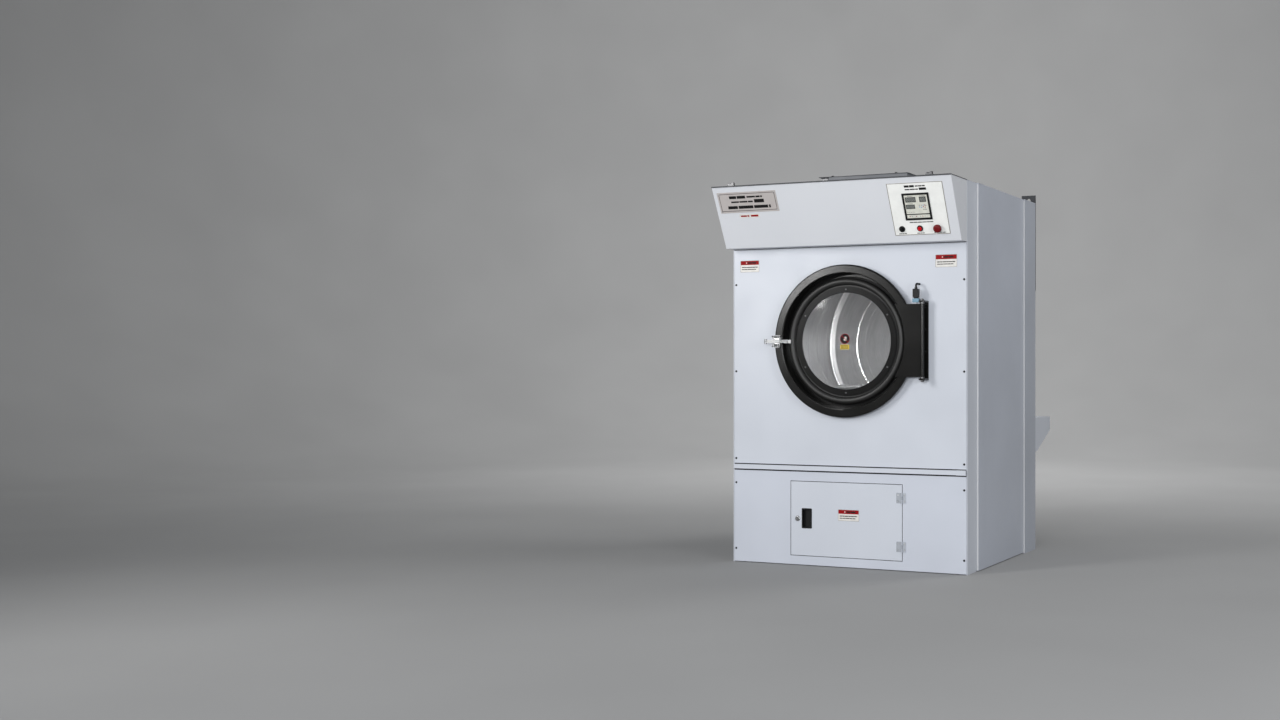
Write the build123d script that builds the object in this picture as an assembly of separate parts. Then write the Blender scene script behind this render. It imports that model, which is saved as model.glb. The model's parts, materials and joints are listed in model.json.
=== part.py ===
from build123d import *
import os
from math import cos, pi, radians, sin

# Commercial tumble dryer, in millimetres.
# +X is to the right of a person facing the machine, +Y runs from the front to the back, +Z is up.
# The origin is on the floor, at the centre of the four anchor holes.

# ---------------------------------------------------------------- driving dimensions
WIDTH = 1300.0            # over the front posts
DEPTH = 1090.0            # front panel face to the back of the rear posts
HEIGHT = 1940.0           # floor to the top panel
SHEET = 1.5               # cabinet sheet thickness
FRONT = -DEPTH / 2        # plane of the front panels
REAR = DEPTH / 2

STEP_1_X = 662.0          # outer face of the side panels
STEP_2_X = 672.0          # outer face of the rear posts
STEP_1_Y = FRONT + 140.0  # front edge of the side panels
STEP_2_Y = FRONT + 893.0  # front edge of the rear posts

PANEL_HALF = 645.0        # half width of the front panels
LOWER_TOP = 482.0
RAIL_LOW = 490.0
RAIL_HIGH = 513.0
RAIL_REACH = 11.0
UPPER_LOW = 515.0
SCREW_X = 634.0
SCREW_HEIGHTS = (71.0, 416.0, 543.0, 999.0, 1452.0)

HEADER_HALF = 649.0
HEADER_LOW = 1637.0
HEADER_LOW_REACH = 79.0
HEADER_TOP_REACH = 235.0

AXIS_Z = 1153.0           # height of the door, drum and drum shaft
RING_OUTER = 388.0
RING_INNER = 344.0
RING_REACH = 42.0
RIM_OUTER = 321.0
RIM_INNER = 285.0
GLASS_RING_OUTER = 278.0
GLASS_VIEW = 246.0
GLASS_RADIUS = 257.0
GLASS_SCREW_CIRCLE = 263.0

HINGE_X = 433.0
HINGE_Y = FRONT - 52.0
HINGE_PIN = 6.0
HINGE_TUBE = 9.0
HINGE_HALF = 181.0        # half height of the hinge plate
PLATE_FRONT = FRONT - 48.5
PLATE_BACK = FRONT - 44.5

CATCH_X = -365.0
ROLLER_RADIUS = 8.0
STRIKE_HALF = 4.0

LINT_LEFT, LINT_RIGHT = -313.0, 305.0
LINT_LOW, LINT_HIGH = 52.0, 432.0
LINT_GAP = 3.0
LINT_DEEP = 16.0
LINT_HINGE_X = 306.0
LINT_HINGE_Y = FRONT - 4.0
LINT_HINGE_LOWS = (96.0, 340.0)
LINT_HINGE_TALL = 52.0
LINT_PIN = 2.0
SCREEN_Y = FRONT + 240.0
LOCK_X, LOCK_Z = -275.0, 241.0
LOCK_RADIUS = 11.5
PULL_X = (-251.0, -194.0)
PULL_Z = (192.0, 295.0)

DRUM_RADIUS = 549.0       # inside of the shell
DRUM_FRONT = FRONT + 62.0
DRUM_BACK = FRONT + 1005.0
DRUM_MOUTH = 335.0
LIFTER_TIP = 430.0
LIFTER_ANGLES = (33.7, 123.7, 213.7, 303.7)
SHAFT_RADIUS = 30.0
RUNNING = 0.05            # radial clearance of a shaft in its bearing
BEARING_BOLTS = tuple((x, AXIS_Z + z) for x in (-60, 60) for z in (-100, 100))

PULLEY_Y = (FRONT + 1135.0, FRONT + 1165.0)
DRUM_PULLEY = 300.0
MOTOR_PULLEY = 75.0
MOTOR_X, MOTOR_Z = 330.0, 850.0
MOTOR_SHAFT = 14.0
SHELF_TOP = 735.0
SHELF_BACK = FRONT + 1384.0

BLOWER_Y, BLOWER_Z = FRONT + 760.0, 245.0
BLOWER_RADIUS = 195.0
BLOWER_HALF = 107.0
BLOWER_SHAFT = 10.0
BLOWER_SHEET = 2.0
INLET_RADIUS = 100.0
DUCT_Z = (BLOWER_Z - 10.0, BLOWER_Z + BLOWER_RADIUS)
DUCT_BACK = FRONT + 1070.0
SPIGOT_RADIUS = 100.0
SPIGOT_BACK = FRONT + 1165.0
SPIGOT_Z = 337.5

HEATER_X = 225.0
HEATER_Y = (FRONT + 270.0, FRONT + 820.0)
HEATER_TOP = 2030.0
HEATER_SCREWS = ((-206.0, FRONT + 282.0), (158.0, FRONT + 282.0))
LID_SCREWS = ((-550.0, FRONT - 180.0), (518.0, FRONT - 180.0))

RAIL_TUBE = 50.0
RAIL_X = 611.0            # centre line of the long floor rails
ANCHOR_X, ANCHOR_Y = 551.0, 440.0
ANCHOR_HOLE = 7.0

DEVICE_X = {"selector": 352.0, "start": 446.0, "estop": 540.0}
DEVICE_DOWN = 270.0       # distance of the operators below the top edge of the console
COLLAR_RADIUS = 15.5
CAP_RADIUS = 10.3
STEM_RADIUS = 7.0

EYE_X, EYE_Z, EYE_HOLE = 632.0, 1955.0, 12.0

BRACKET_Y = (FRONT - 6.0, FRONT)
BRACKET_SCREWS = (1099.0, 1209.0, 1318.0)
BRACKET_SCREW_X = 431.0
LUG_TOP = (1341.0, 1349.0)
LUG_LOW = (957.0, 965.0)

ROLLER_Y = FRONT - RING_REACH - 12.0
ROLLER_OFFSET = STRIKE_HALF + ROLLER_RADIUS + 0.35
ROLLER_TRAVEL = 3.0
AXLE_RADIUS = 2.5

SWITCH_X = 398.0
SWITCH_Y = FRONT - 46.5
LEAD_LOW, LEAD_HIGH = 1434.0, 1696.0
LEAD_Y = FRONT + 24.0     # the lead runs up at this depth behind the front sheet
LEAD_RADIUS = 5.0
LEAD_BENDS = (14.0, 18.0, 18.0, 25.0)
PLUNGER_RADIUS = 3.0

BEAM_Y = (FRONT + 1038.0, FRONT + 1080.0)

# Places on the console face: across, and down from its top edge.
PLATE_X, PLATE_DOWN = (310.0, 599.0), (34.0, 304.0)
MODULE_X, MODULE_DOWN = (386.0, 515.0), (92.0, 220.0)

# The console face leans out at the top; its plane has +X to the right and +Y up the slope.
CONSOLE_TOP = Vector(0, FRONT - HEADER_TOP_REACH, HEIGHT)
CONSOLE_FOOT = Vector(0, FRONT - HEADER_LOW_REACH, HEADER_LOW)
CONSOLE_UP = (CONSOLE_TOP - CONSOLE_FOOT).normalized()
CONSOLE = Plane(origin=CONSOLE_TOP, x_dir=(1, 0, 0), z_dir=(0, -CONSOLE_UP.Z, CONSOLE_UP.Y))


# ---------------------------------------------------------------- helpers
def block(x, y, z):
    """Box between a low and a high value on each axis."""
    size = [pair[1] - pair[0] for pair in (x, y, z)]
    centre = [(pair[1] + pair[0]) / 2 for pair in (x, y, z)]
    return Pos(*centre) * Box(*size)


def about(middle, half):
    return (middle - half, middle + half)


def rod(radius, start, end):
    """Round bar from one point to another."""
    axis = Vector(*end) - Vector(*start)
    bottom = (Align.CENTER, Align.CENTER, Align.MIN)
    return Plane(origin=start, z_dir=axis) * Cylinder(radius, axis.length, align=bottom)


def pipe(outer, inner, start, end):
    return rod(outer, start, end) - rod(inner, start, end)


def outline(points):
    return make_face(Polyline(*points, close=True))


def prism(points, start, end, plane=Plane.XY):
    """Straight-sided outline drawn on a plane and raised between two distances from it."""
    return extrude(plane.offset(start) * outline(points), end - start)


def folded(path, start, end, plane=Plane.XY, thickness=SHEET):
    """Sheet that lies along the left of a path and is raised from the path's plane."""
    points = [Vector(a, b) for a, b in path]
    steps = [(b - a).normalized() for a, b in zip(points, points[1:])]
    sides = [Vector(-step.Y, step.X) for step in steps]
    back = [points[0] + sides[0] * thickness]
    for corner, first, second in zip(points[1:], sides, sides[1:]):
        back.append(corner + (first + second) * (thickness / (1 + first.dot(second))))
    back.append(points[-1] + sides[-1] * thickness)
    return prism(points + back[::-1], start, end, plane)


def rounded(face, corners):
    """Round the corners of a flat profile that lie nearest to (x, y), each by its radius."""
    for x, y, radius in corners:
        face = fillet(face.vertices().sort_by_distance((x, y, 0))[0], radius)
    return face


def turned(face, turn=360):
    """Turn a profile of (radius, Y) about the door and drum axis, starting at +X."""
    return Pos(0, 0, AXIS_Z) * revolve(face, Axis.Y, turn)


def both_sides(shape):
    return [shape, mirror(shape, about=Plane.YZ)]


def group(solids):
    return Compound(children=list(solids))


def round_places(radius, angles, y):
    """Points on a circle round the door axis."""
    return [(radius * cos(radians(a)), y, AXIS_Z + radius * sin(radians(a))) for a in angles]


def screw(point, direction, head=5.5, tall=3.0, shank=2.5, length=8.0):
    """Domed screw seated at a point, its head standing out along a direction."""
    seat = Plane(origin=point, z_dir=direction)
    profile = [(0, -length), (shank, -length), (shank, 0), (head, 0), (head, tall * 0.4),
               (head * 0.6, tall), (0, tall)]
    return seat * revolve(Plane.XZ * outline(profile), Axis.Z)


# ---------------------------------------------------------------- frame and cabinet
def base_rails():
    """Floor frame of square tube, with an anchor plate in each corner."""
    wall = 3.0
    half = RAIL_TUBE / 2
    inner = half - wall
    ends = (FRONT + 20, REAR - 20)
    high = (0, RAIL_TUBE)
    long_rail = block(about(RAIL_X, half), ends, high)
    long_rail -= block(about(RAIL_X, inner), ends, (wall, RAIL_TUBE - wall))
    rails = both_sides(long_rail)
    between = about(0, RAIL_X - half)
    for y in (FRONT + 45, SCREEN_Y, BLOWER_Y - 60, REAR - 45):
        cross = block(between, about(y, half), high)
        rails.append(cross - block(between, about(y, inner), (wall, RAIL_TUBE - wall)))
    for sign in (-1, 1):
        plate = block(about(ANCHOR_X, 35), about(sign * ANCHOR_Y, 35), (0, 6))
        hole = rod(ANCHOR_HOLE, (ANCHOR_X, sign * ANCHOR_Y, -1), (ANCHOR_X, sign * ANCHOR_Y, 7))
        rails += both_sides(plate - hole)
    return group(rails)


def front_posts():
    """Formed posts: a narrow front lip, a plain side and flanges turned in."""
    side = WIDTH / 2 - SHEET
    lip = side - 0.8
    path = [(RAIL_X + RAIL_TUBE / 2, FRONT + 137), (side, FRONT + 137), (side, FRONT + SHEET)]
    path += [(lip, FRONT + SHEET), (lip, FRONT + 16), (600, FRONT + 16)]
    post = folded(path, 0, HEIGHT - 2.5)
    for z in SCREW_HEIGHTS:
        post -= rod(2.6, (SCREW_X, FRONT + 14, z), (SCREW_X, FRONT + 17, z))
    return group(both_sides(post))


def right_side_panel():
    """Side sheet that stands proud of the front post, with a shallow crease along its front."""
    path = [(636, STEP_1_Y), (STEP_1_X - 2, STEP_1_Y), (STEP_1_X, STEP_1_Y + 75)]
    path += [(STEP_1_X, STEP_2_Y - 1), (636, STEP_2_Y - 1)]
    return folded(path, 4, HEIGHT - 2.5)


def left_side_panel():
    return mirror(right_side_panel(), about=Plane.YZ)


def rear_posts():
    """Formed posts that step out once more and turn in behind the rear panel."""
    path = [(636, STEP_2_Y), (STEP_2_X - 2, STEP_2_Y), (STEP_2_X, STEP_2_Y + 58)]
    path += [(STEP_2_X, REAR), (600, REAR)]
    return group(both_sides(folded(path, 0, HEIGHT - 2.5)))


def rear_panel():
    """Back sheet, with holes for the drum bearing and the exhaust spigot."""
    y = (REAR - 5.5, REAR - 3.5)
    sheet = block((-665, 665), y, (52, HEIGHT - 4))
    sheet -= rod(62, (0, y[0] - 1, AXIS_Z), (0, y[1] + 1, AXIS_Z))
    for x, z in BEARING_BOLTS:
        sheet -= rod(11, (x, y[0] - 1, z), (x, y[1] + 1, z))
    sheet -= rod(SPIGOT_RADIUS + 3, (0, y[0] - 1, SPIGOT_Z), (0, y[1] + 1, SPIGOT_Z))
    for row in (620, 1500):
        sheet += block((-560, 560), (y[0] - 12, y[0]), (row, row + 30))
    return sheet


def top_panel():
    """Lid of the cabinet, following the steps of the sides, open under the heater box."""
    z = (HEIGHT - 2, HEIGHT)
    sheet = block(about(0, WIDTH / 2), (FRONT + 0.5, STEP_1_Y), z)
    sheet += block(about(0, STEP_1_X), (STEP_1_Y, STEP_2_Y), z)
    sheet += block(about(0, STEP_2_X), (STEP_2_Y, REAR), z)
    middle = (HEATER_Y[0] + 40, HEATER_Y[1] - 40)
    return sheet - block(about(0, HEATER_X - 40), middle, (z[0] - 1, z[1] + 1))


def front_sheet(low, high):
    """Front sheet with turned-back edges and a hole for each side screw."""
    sheet = block(about(0, PANEL_HALF), (FRONT, FRONT + 12), (low, high))
    inner = (FRONT + 2, FRONT + 13)
    sheet -= block(about(0, PANEL_HALF - 2), inner, (low + 2, high - 2))
    for height in SCREW_HEIGHTS:
        if low < height < high:
            for x in (-SCREW_X, SCREW_X):
                sheet -= rod(2.6, (x, FRONT - 1, height), (x, FRONT + 3, height))
    return sheet


def front_upper_panel():
    """Large front sheet with the door hole, running up behind the console."""
    sheet = front_sheet(UPPER_LOW, HEIGHT - 4)
    hole = RING_INNER + 3.0
    sheet -= rod(hole, (0, FRONT - 1, AXIS_Z), (0, FRONT + 3, AXIS_Z))
    for z in (LEAD_LOW, LEAD_HIGH):
        sheet -= rod(LEAD_RADIUS + 1, (SWITCH_X, FRONT - 1, z), (SWITCH_X, FRONT + 3, z))
    for z in BRACKET_SCREWS:
        sheet -= rod(2.6, (BRACKET_SCREW_X, FRONT - 1, z), (BRACKET_SCREW_X, FRONT + 3, z))
    return sheet


def front_lower_panel():
    """Lower front sheet round the lint door, its opening edged with a turned-back flange."""
    sheet = front_sheet(4, LOWER_TOP)
    x = (LINT_LEFT - LINT_GAP, LINT_RIGHT + LINT_GAP)
    z = (LINT_LOW - LINT_GAP, LINT_HIGH + LINT_GAP)
    flange = block((x[0] - SHEET, x[1] + SHEET), (FRONT + 2, FRONT + 14), (z[0] - SHEET, z[1] + SHEET))
    return sheet + flange - block(x, (FRONT - 1, FRONT + 15), z)


def front_rail():
    """Channel rail between the two front sheets, with a sleeve over its right-hand end."""
    face = FRONT - RAIL_REACH
    path = [(FRONT + 13, RAIL_HIGH), (face, RAIL_HIGH), (face, RAIL_LOW), (FRONT - 3, RAIL_LOW)]
    channel = folded(path, -643, 645, Plane.YZ)
    backing = block((-645, 645), (FRONT + 12.5, FRONT + 14), (LOWER_TOP - 6, RAIL_HIGH - 0.5))
    sleeve = [(FRONT - 1, RAIL_HIGH + 1), (face - 1, RAIL_HIGH + 1), (face - 1, RAIL_LOW - 1)]
    sleeve.append((FRONT - 3, RAIL_LOW - 1))
    cover = folded(sleeve, 595, 646, Plane.YZ, thickness=1.0)
    return group([channel + backing, cover])


def panel_screws():
    """Black screws of the front sheets, the hinge bracket and the heater lid."""
    forward = (0, -1, 0)
    places = [(x, FRONT, z) for z in SCREW_HEIGHTS for x in (-SCREW_X, SCREW_X)]
    screws = [screw(place, forward, length=20) for place in places]
    places = [(BRACKET_SCREW_X, BRACKET_Y[0], z) for z in BRACKET_SCREWS]
    screws += [screw(place, forward, length=14) for place in places]
    for x, y in HEATER_SCREWS:
        screws.append(screw((x, y, HEATER_TOP + 3), (0, 0, 1), head=8, tall=6, length=8))
    for x, y in LID_SCREWS:
        screws.append(screw((x, y, HEIGHT + 1), (0, 0, 1), head=8, tall=11, length=8))
    return group(screws)


def screw_holes(sheet, places, z):
    """Clearance holes for upright screws."""
    for x, y in places:
        sheet -= rod(2.6, (x, y, z[0] - 1), (x, y, z[1] + 1))
    return sheet


# ---------------------------------------------------------------- console
def console_cut(x, down, radius):
    """Round hole square through the console face."""
    return CONSOLE * Pos(x, -down, 0) * Cylinder(radius, 20)


def console_block(x, down, out):
    """Box on the console face: across, down from the top edge, and out from the face."""
    return CONSOLE * block(x, (-down[1], -down[0]), out)


def header_shell():
    """Leaning console: underside, face and top return in one folded sheet, with end cheeks."""
    top = HEIGHT - 2.5
    lean = (HEADER_TOP_REACH - HEADER_LOW_REACH) / (HEIGHT - HEADER_LOW)
    reach = HEADER_LOW_REACH + lean * (top - HEADER_LOW)
    foot = (FRONT - HEADER_LOW_REACH, HEADER_LOW)
    path = [(FRONT - 210, top), (FRONT - reach, top), foot, (FRONT - 1, HEADER_LOW)]
    inside = HEADER_HALF - SHEET
    shell = folded(path, -inside, inside, Plane.YZ)
    side = [(FRONT - 1, HEADER_LOW), foot, (FRONT - reach, top), (FRONT - 1, top)]
    shell += prism(side, inside, HEADER_HALF, Plane.YZ)
    shell += prism(side, -HEADER_HALF, -inside, Plane.YZ)
    for x in DEVICE_X.values():
        shell -= console_cut(x, DEVICE_DOWN, 11.25)
    return shell - console_block(MODULE_X, MODULE_DOWN, (-10, 10))


def header_lid():
    """Cover over the console, with a small lip down over the top edge of its face."""
    z = (HEIGHT - 2, HEIGHT + 1)
    lid = block(about(0, HEADER_HALF + 1), (FRONT - HEADER_TOP_REACH - 3, FRONT - 0.5), z)
    lip = (FRONT - HEADER_TOP_REACH - 3, FRONT - HEADER_TOP_REACH - 1.2)
    lid += block(about(0, HEADER_HALF + 1), lip, (HEIGHT - 5, HEIGHT - 2))
    return screw_holes(lid, LID_SCREWS, z)


def control_plate():
    """Flat overlay plate with holes for the three operators and the display module."""
    plate = console_block(PLATE_X, PLATE_DOWN, (0, 2))
    for x in DEVICE_X.values():
        plate -= console_cut(x, DEVICE_DOWN, 11.25)
    return plate - console_block(MODULE_X, MODULE_DOWN, (-1, 3))


def display_module():
    """Display and keypad module: a raised dark frame and a housing behind the console face."""
    body = console_block((MODULE_X[0] + 0.2, MODULE_X[1] - 0.2), (92.2, 219.8), (-45, 2))
    frame = console_block((MODULE_X[0] - 5, MODULE_X[1] + 5), (87, 225), (2, 6))
    recess = console_block((MODULE_X[0] + 4, MODULE_X[1] - 4), (96, 216), (4, 7))
    return body + frame - recess


def operator_collar(x):
    """Round bezel on the face, with its threaded sleeve through the sheet."""
    bore = STEM_RADIUS + 0.3
    profile = [(bore, -28), (11, -28), (11, 2), (COLLAR_RADIUS, 2), (COLLAR_RADIUS, 6),
               (COLLAR_RADIUS - 1.5, 7), (CAP_RADIUS + 0.3, 7), (CAP_RADIUS + 0.3, 3), (bore, 3)]
    return CONSOLE * Pos(x, -DEVICE_DOWN, 0) * revolve(Plane.XZ * outline(profile), Axis.Z)


def button_collars():
    return group(operator_collar(x) for x in DEVICE_X.values())


def operator_body(x, profile):
    return CONSOLE * Pos(x, -DEVICE_DOWN, 0) * revolve(Plane.XZ * profile, Axis.Z)


def start_button():
    """Push button: a cap that stands 4 mm over its bezel and travels 3 mm."""
    points = [(0, -24), (STEM_RADIUS, -24), (STEM_RADIUS, 6.3), (CAP_RADIUS, 6.3)]
    points += [(CAP_RADIUS, 10.2), (CAP_RADIUS - 1.2, 11.4), (0, 11.4)]
    return operator_body(DEVICE_X["start"], outline(points))


def estop_button():
    """Mushroom head that clears its bezel by more than its 5 mm travel."""
    points = [(0, -22), (STEM_RADIUS, -22), (STEM_RADIUS, 12.6), (18, 12.6), (20.3, 14)]
    points += [(20.3, 20), (17, 25), (9, 27.6), (0, 28)]
    return operator_body(DEVICE_X["estop"], rounded(outline(points), [(20.3, 20, 4), (17, 25, 6)]))


def selector_knob():
    """Two-position selector with a raised finger bar."""
    points = [(0, -24), (STEM_RADIUS, -24), (STEM_RADIUS, 6.3), (CAP_RADIUS, 6.3)]
    points += [(CAP_RADIUS, 10), (0, 10)]
    knob = operator_body(DEVICE_X["selector"], outline(points))
    bar = Pos(0, 0, 14) * Box(6, 19, 10)
    bar = chamfer(bar.faces().sort_by(Axis.Z)[-1].edges(), 1.2)
    return knob + CONSOLE * Pos(DEVICE_X["selector"], -DEVICE_DOWN, 0) * bar


def nameplate():
    """Blank metal plate held to the console by four rivets."""
    x, down = (-628.0, -294.0), (34.0, 145.0)
    plate = console_block(x, down, (0, 1.5))
    border = console_block((x[0] + 6, x[1] - 6), (down[0] + 6, down[1] - 6), (1.1, 2))
    border -= console_block((x[0] + 8, x[1] - 8), (down[0] + 8, down[1] - 8), (1.0, 3))
    plate -= border
    rivets = []
    for across in (x[0] + 12, x[1] - 12):
        for drop in (down[0] + 12, down[1] - 12):
            head = [(0, 1.5), (4, 1.5), (3.2, 3.0), (0, 3.6)]
            head = revolve(Plane.XZ * outline(head), Axis.Z)
            rivets.append(CONSOLE * Pos(across, -drop, 0) * head)
    return group([plate] + rivets)


# ---------------------------------------------------------------- fixed door ring, catch, hinge bracket
def door_ring():
    """Spun ring with a broad face, a tapered outer wall and a deep inner wall, and its seal seat."""
    back = FRONT + 30.5
    face = FRONT - RING_REACH
    wall = 2.5
    visible = [(RING_OUTER - 12, FRONT), (RING_OUTER, FRONT - 30), (RING_OUTER, face)]
    visible += [(RING_INNER, face), (RING_INNER, back)]
    hidden = [(RING_INNER + wall, back), (RING_INNER + wall, face + wall)]
    hidden += [(RING_OUTER - wall, face + wall), (RING_OUTER - wall, FRONT - 30)]
    hidden.append((RING_OUTER - 12 - wall, FRONT))
    corners = [(RING_OUTER, face, 9), (RING_OUTER - wall, face + wall, 6.5), (RING_INNER, face, 5)]
    corners += [(RING_INNER + wall, face + wall, 2.5), (RING_OUTER, FRONT - 30, 12)]
    ring = turned(rounded(outline(visible + hidden), corners))
    seat = outline([(302, back), (302, back - wall), (RING_INNER, back - wall), (RING_INNER, back)])
    return group([ring, turned(seat)])


def door_gasket():
    """Rubber seal on the back flange of the ring, just behind the closed door."""
    back = FRONT + 28
    profile = [(304, back), (330, back), (330, back - 4), (318, back - 7), (316, back - 13), (308, back - 13)]
    profile.append((304, back - 8))
    return turned(rounded(outline(profile), [(316, back - 13, 3), (308, back - 13, 3)]))


def hinge_bracket():
    """Strip on the front sheet with a lug at each end for the hinge pin."""
    strip = block((408, 448), BRACKET_Y, (LUG_LOW[0], LUG_TOP[1]))
    for z in BRACKET_SCREWS:
        strip -= rod(2.6, (BRACKET_SCREW_X, FRONT - 7, z), (BRACKET_SCREW_X, FRONT + 1, z))
    for lug in (LUG_LOW, LUG_TOP):
        tab = block((417, 448), (HINGE_Y - 13, BRACKET_Y[0]), lug)
        tab = fillet(tab.edges().filter_by(Axis.Z).sort_by(Axis.Y)[:2], 8)
        strip += tab
        strip -= rod(HINGE_PIN, (HINGE_X, HINGE_Y, lug[0] - 1), (HINGE_X, HINGE_Y, lug[1] + 1))
    return strip


def hinge_pin():
    """Pin through both lugs, with a nut outside each lug and a washer inside it."""
    def disc(radius, low, high):
        return pipe(radius, HINGE_PIN, (HINGE_X, HINGE_Y, low), (HINGE_X, HINGE_Y, high))

    def nut(low):
        seat = Plane((HINGE_X, HINGE_Y, low))
        return seat * extrude(RegularPolygon(10, 6), 7) - rod(
            HINGE_PIN, (HINGE_X, HINGE_Y, low), (HINGE_X, HINGE_Y, low + 7))

    pin = rod(HINGE_PIN, (HINGE_X, HINGE_Y, LUG_LOW[0] - 10), (HINGE_X, HINGE_Y, LUG_TOP[1] + 10))
    washers = [disc(11, LUG_LOW[1], AXIS_Z - HINGE_HALF - 0.4)]
    washers.append(disc(11, AXIS_Z + HINGE_HALF + 0.4, LUG_TOP[0]))
    return group([pin] + washers + [nut(LUG_LOW[0] - 7), nut(LUG_TOP[1])])


def catch_bracket():
    """Catch on the ring: a back plate, end walls and slotted cheeks that hold two rollers."""
    back = FRONT - RING_REACH
    x = about(CATCH_X, 19)
    z = about(AXIS_Z, 31.5)
    tray = block(x, (back - 20, back), z)
    tray = fillet(tray.edges().filter_by(Axis.Y), 7)
    tray -= block(about(CATCH_X, 16), (back - 21, back - 3), about(AXIS_Z, 28.5))
    slot_low = ROLLER_OFFSET - AXLE_RADIUS - 0.3
    slot_high = ROLLER_OFFSET + ROLLER_TRAVEL + AXLE_RADIUS + 0.3
    for sign in (-1, 1):
        z = sorted((AXIS_Z + sign * slot_low, AXIS_Z + sign * slot_high))
        tray -= block(about(CATCH_X, 20), about(ROLLER_Y, AXLE_RADIUS + 0.3), z)
    tray -= block(about(CATCH_X, 20), (back - 21, back - 4), about(AXIS_Z, 9))
    for sign in (-1, 1):
        z = AXIS_Z + sign * 18
        ear = block((CATCH_X - 31, CATCH_X - 19), (back - 8, back - 4), about(z, 6))
        tray += ear + rod(3, (CATCH_X - 26, back - 10, z), (CATCH_X - 26, back - 4, z))
    return tray


def catch_roller(sign):
    """Sprung roller and its axle, above or below the strike."""
    z = AXIS_Z + sign * ROLLER_OFFSET
    roller = rod(ROLLER_RADIUS, (CATCH_X - 14, ROLLER_Y, z), (CATCH_X + 14, ROLLER_Y, z))
    roller = chamfer(roller.edges().filter_by(GeomType.CIRCLE), 1)
    return roller + rod(AXLE_RADIUS, (CATCH_X - 18.5, ROLLER_Y, z), (CATCH_X + 18.5, ROLLER_Y, z))


def catch_roller_upper():
    return catch_roller(1)


def catch_roller_lower():
    return catch_roller(-1)


# ---------------------------------------------------------------- door
def rim_arch(shrink, tail):
    """Filled section of the half-round front of the rim, with straight sides back to the tail."""
    middle = (RIM_OUTER + RIM_INNER) / 2
    half = (RIM_OUTER - RIM_INNER) / 2 - shrink
    root = FRONT + 2
    arc = ThreePointArc((middle - half, root), (middle, root - half), (middle + half, root))
    sides = [(middle + half, root), (middle + half, tail), (middle - half, tail), (middle - half, root)]
    return make_face(arc + Polyline(*sides))


def door_rim():
    """Hollow half-round rim, open at the back, with a flange for the glass."""
    tail = FRONT + 14
    front, back = FRONT + 3, FRONT + 5.5
    flange = outline([(250, front), (RIM_INNER + 1, front), (RIM_INNER + 1, back), (250, back)])
    rim = turned(rim_arch(0, tail) - rim_arch(2.5, tail + 5) + flange)
    for point in round_places(GLASS_SCREW_CIRCLE, range(30, 390, 60), FRONT):
        rim -= rod(2.6, point, (point[0], FRONT + 7, point[2]))
    return rim


def glass_ring():
    """Flat ring that clamps the glass into the rim."""
    low, high = FRONT - 6, FRONT - 3
    profile = [(GLASS_VIEW, high), (GLASS_RING_OUTER, high), (GLASS_RING_OUTER, low + 0.8)]
    profile += [(GLASS_RING_OUTER - 0.8, low), (GLASS_VIEW + 1.5, low), (GLASS_VIEW, low + 1.5)]
    ring = turned(outline(profile))
    for point in round_places(GLASS_SCREW_CIRCLE, range(30, 390, 60), low - 1):
        ring -= rod(2.6, point, (point[0], high + 1, point[2]))
    return ring


def glass_screws():
    places = round_places(GLASS_SCREW_CIRCLE, range(30, 390, 60), FRONT - 6)
    return group(screw(p, (0, -1, 0), head=4.5, tall=2.5, length=11) for p in places)


def door_glass():
    glass = rod(GLASS_RADIUS, (0, FRONT - 3, AXIS_Z), (0, FRONT + 3, AXIS_Z))
    return chamfer(glass.edges().filter_by(GeomType.CIRCLE), 0.8)


def hinge_plate():
    """Flat plate over the ring, cranked back to the rim at its inner end, with a tube for the pin."""
    z = about(AXIS_Z, HINGE_HALF)
    bend = 338.0
    plate = block((250, HINGE_X - 4), (PLATE_FRONT, PLATE_BACK), z)
    plate -= rod(bend, (0, PLATE_FRONT - 1, AXIS_Z), (0, PLATE_BACK + 1, AXIS_Z))
    crank = [(bend + 3, PLATE_FRONT), (bend, PLATE_FRONT), (RIM_OUTER, FRONT - 14), (RIM_OUTER, FRONT + 6)]
    crank += [(RIM_OUTER + 4, FRONT + 6), (RIM_OUTER + 4, FRONT - 13), (bend + 3, PLATE_BACK)]
    web = turned(outline(crank)) & block((200, 400), (FRONT - 60, FRONT + 20), z)
    tube = rod(HINGE_TUBE, (HINGE_X, HINGE_Y, z[0]), (HINGE_X, HINGE_Y, z[1]))
    bore = rod(HINGE_PIN + RUNNING, (HINGE_X, HINGE_Y, z[0] - 1), (HINGE_X, HINGE_Y, z[1] + 1))
    return plate + web + tube - bore


def door_handle():
    """Chrome bar from the rim across the catch, with a strike on its back and a grip at its end."""
    front, back = FRONT - 70, FRONT - 62
    points = [(-428, front), (-346, front), (-320, FRONT - 26), (-302, FRONT - 26), (-302, FRONT - 8)]
    points += [(-320, FRONT - 8), (-328, FRONT - 22), (-350, back), (-428, back)]
    bar = prism(points, AXIS_Z - 8.5, AXIS_Z + 8.5)
    grip = rod(6, (-426, FRONT - 68, AXIS_Z - 13), (-426, FRONT - 68, AXIS_Z + 13))
    nose = FRONT - RING_REACH - 4.5
    strike = [(CATCH_X - 10, back), (CATCH_X + 10, back), (CATCH_X + 10, nose - 3), (CATCH_X + 7, nose)]
    strike += [(CATCH_X - 7, nose), (CATCH_X - 10, nose - 3)]
    handle = bar + grip + prism(strike, AXIS_Z - STRIKE_HALF, AXIS_Z + STRIKE_HALF)
    return handle - turned(rim_arch(0, FRONT + 14))


# ---------------------------------------------------------------- door switch
def switch_head():
    """Actuator head on the upper lug, bored for the plunger."""
    head = block((382, 417), about(SWITCH_Y, 12), (1341, 1360))
    head = fillet(head.edges().filter_by(Axis.Z), 3)
    return head - rod(PLUNGER_RADIUS + RUNNING, (SWITCH_X, SWITCH_Y, 1340), (SWITCH_X, SWITCH_Y, 1357))


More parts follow.
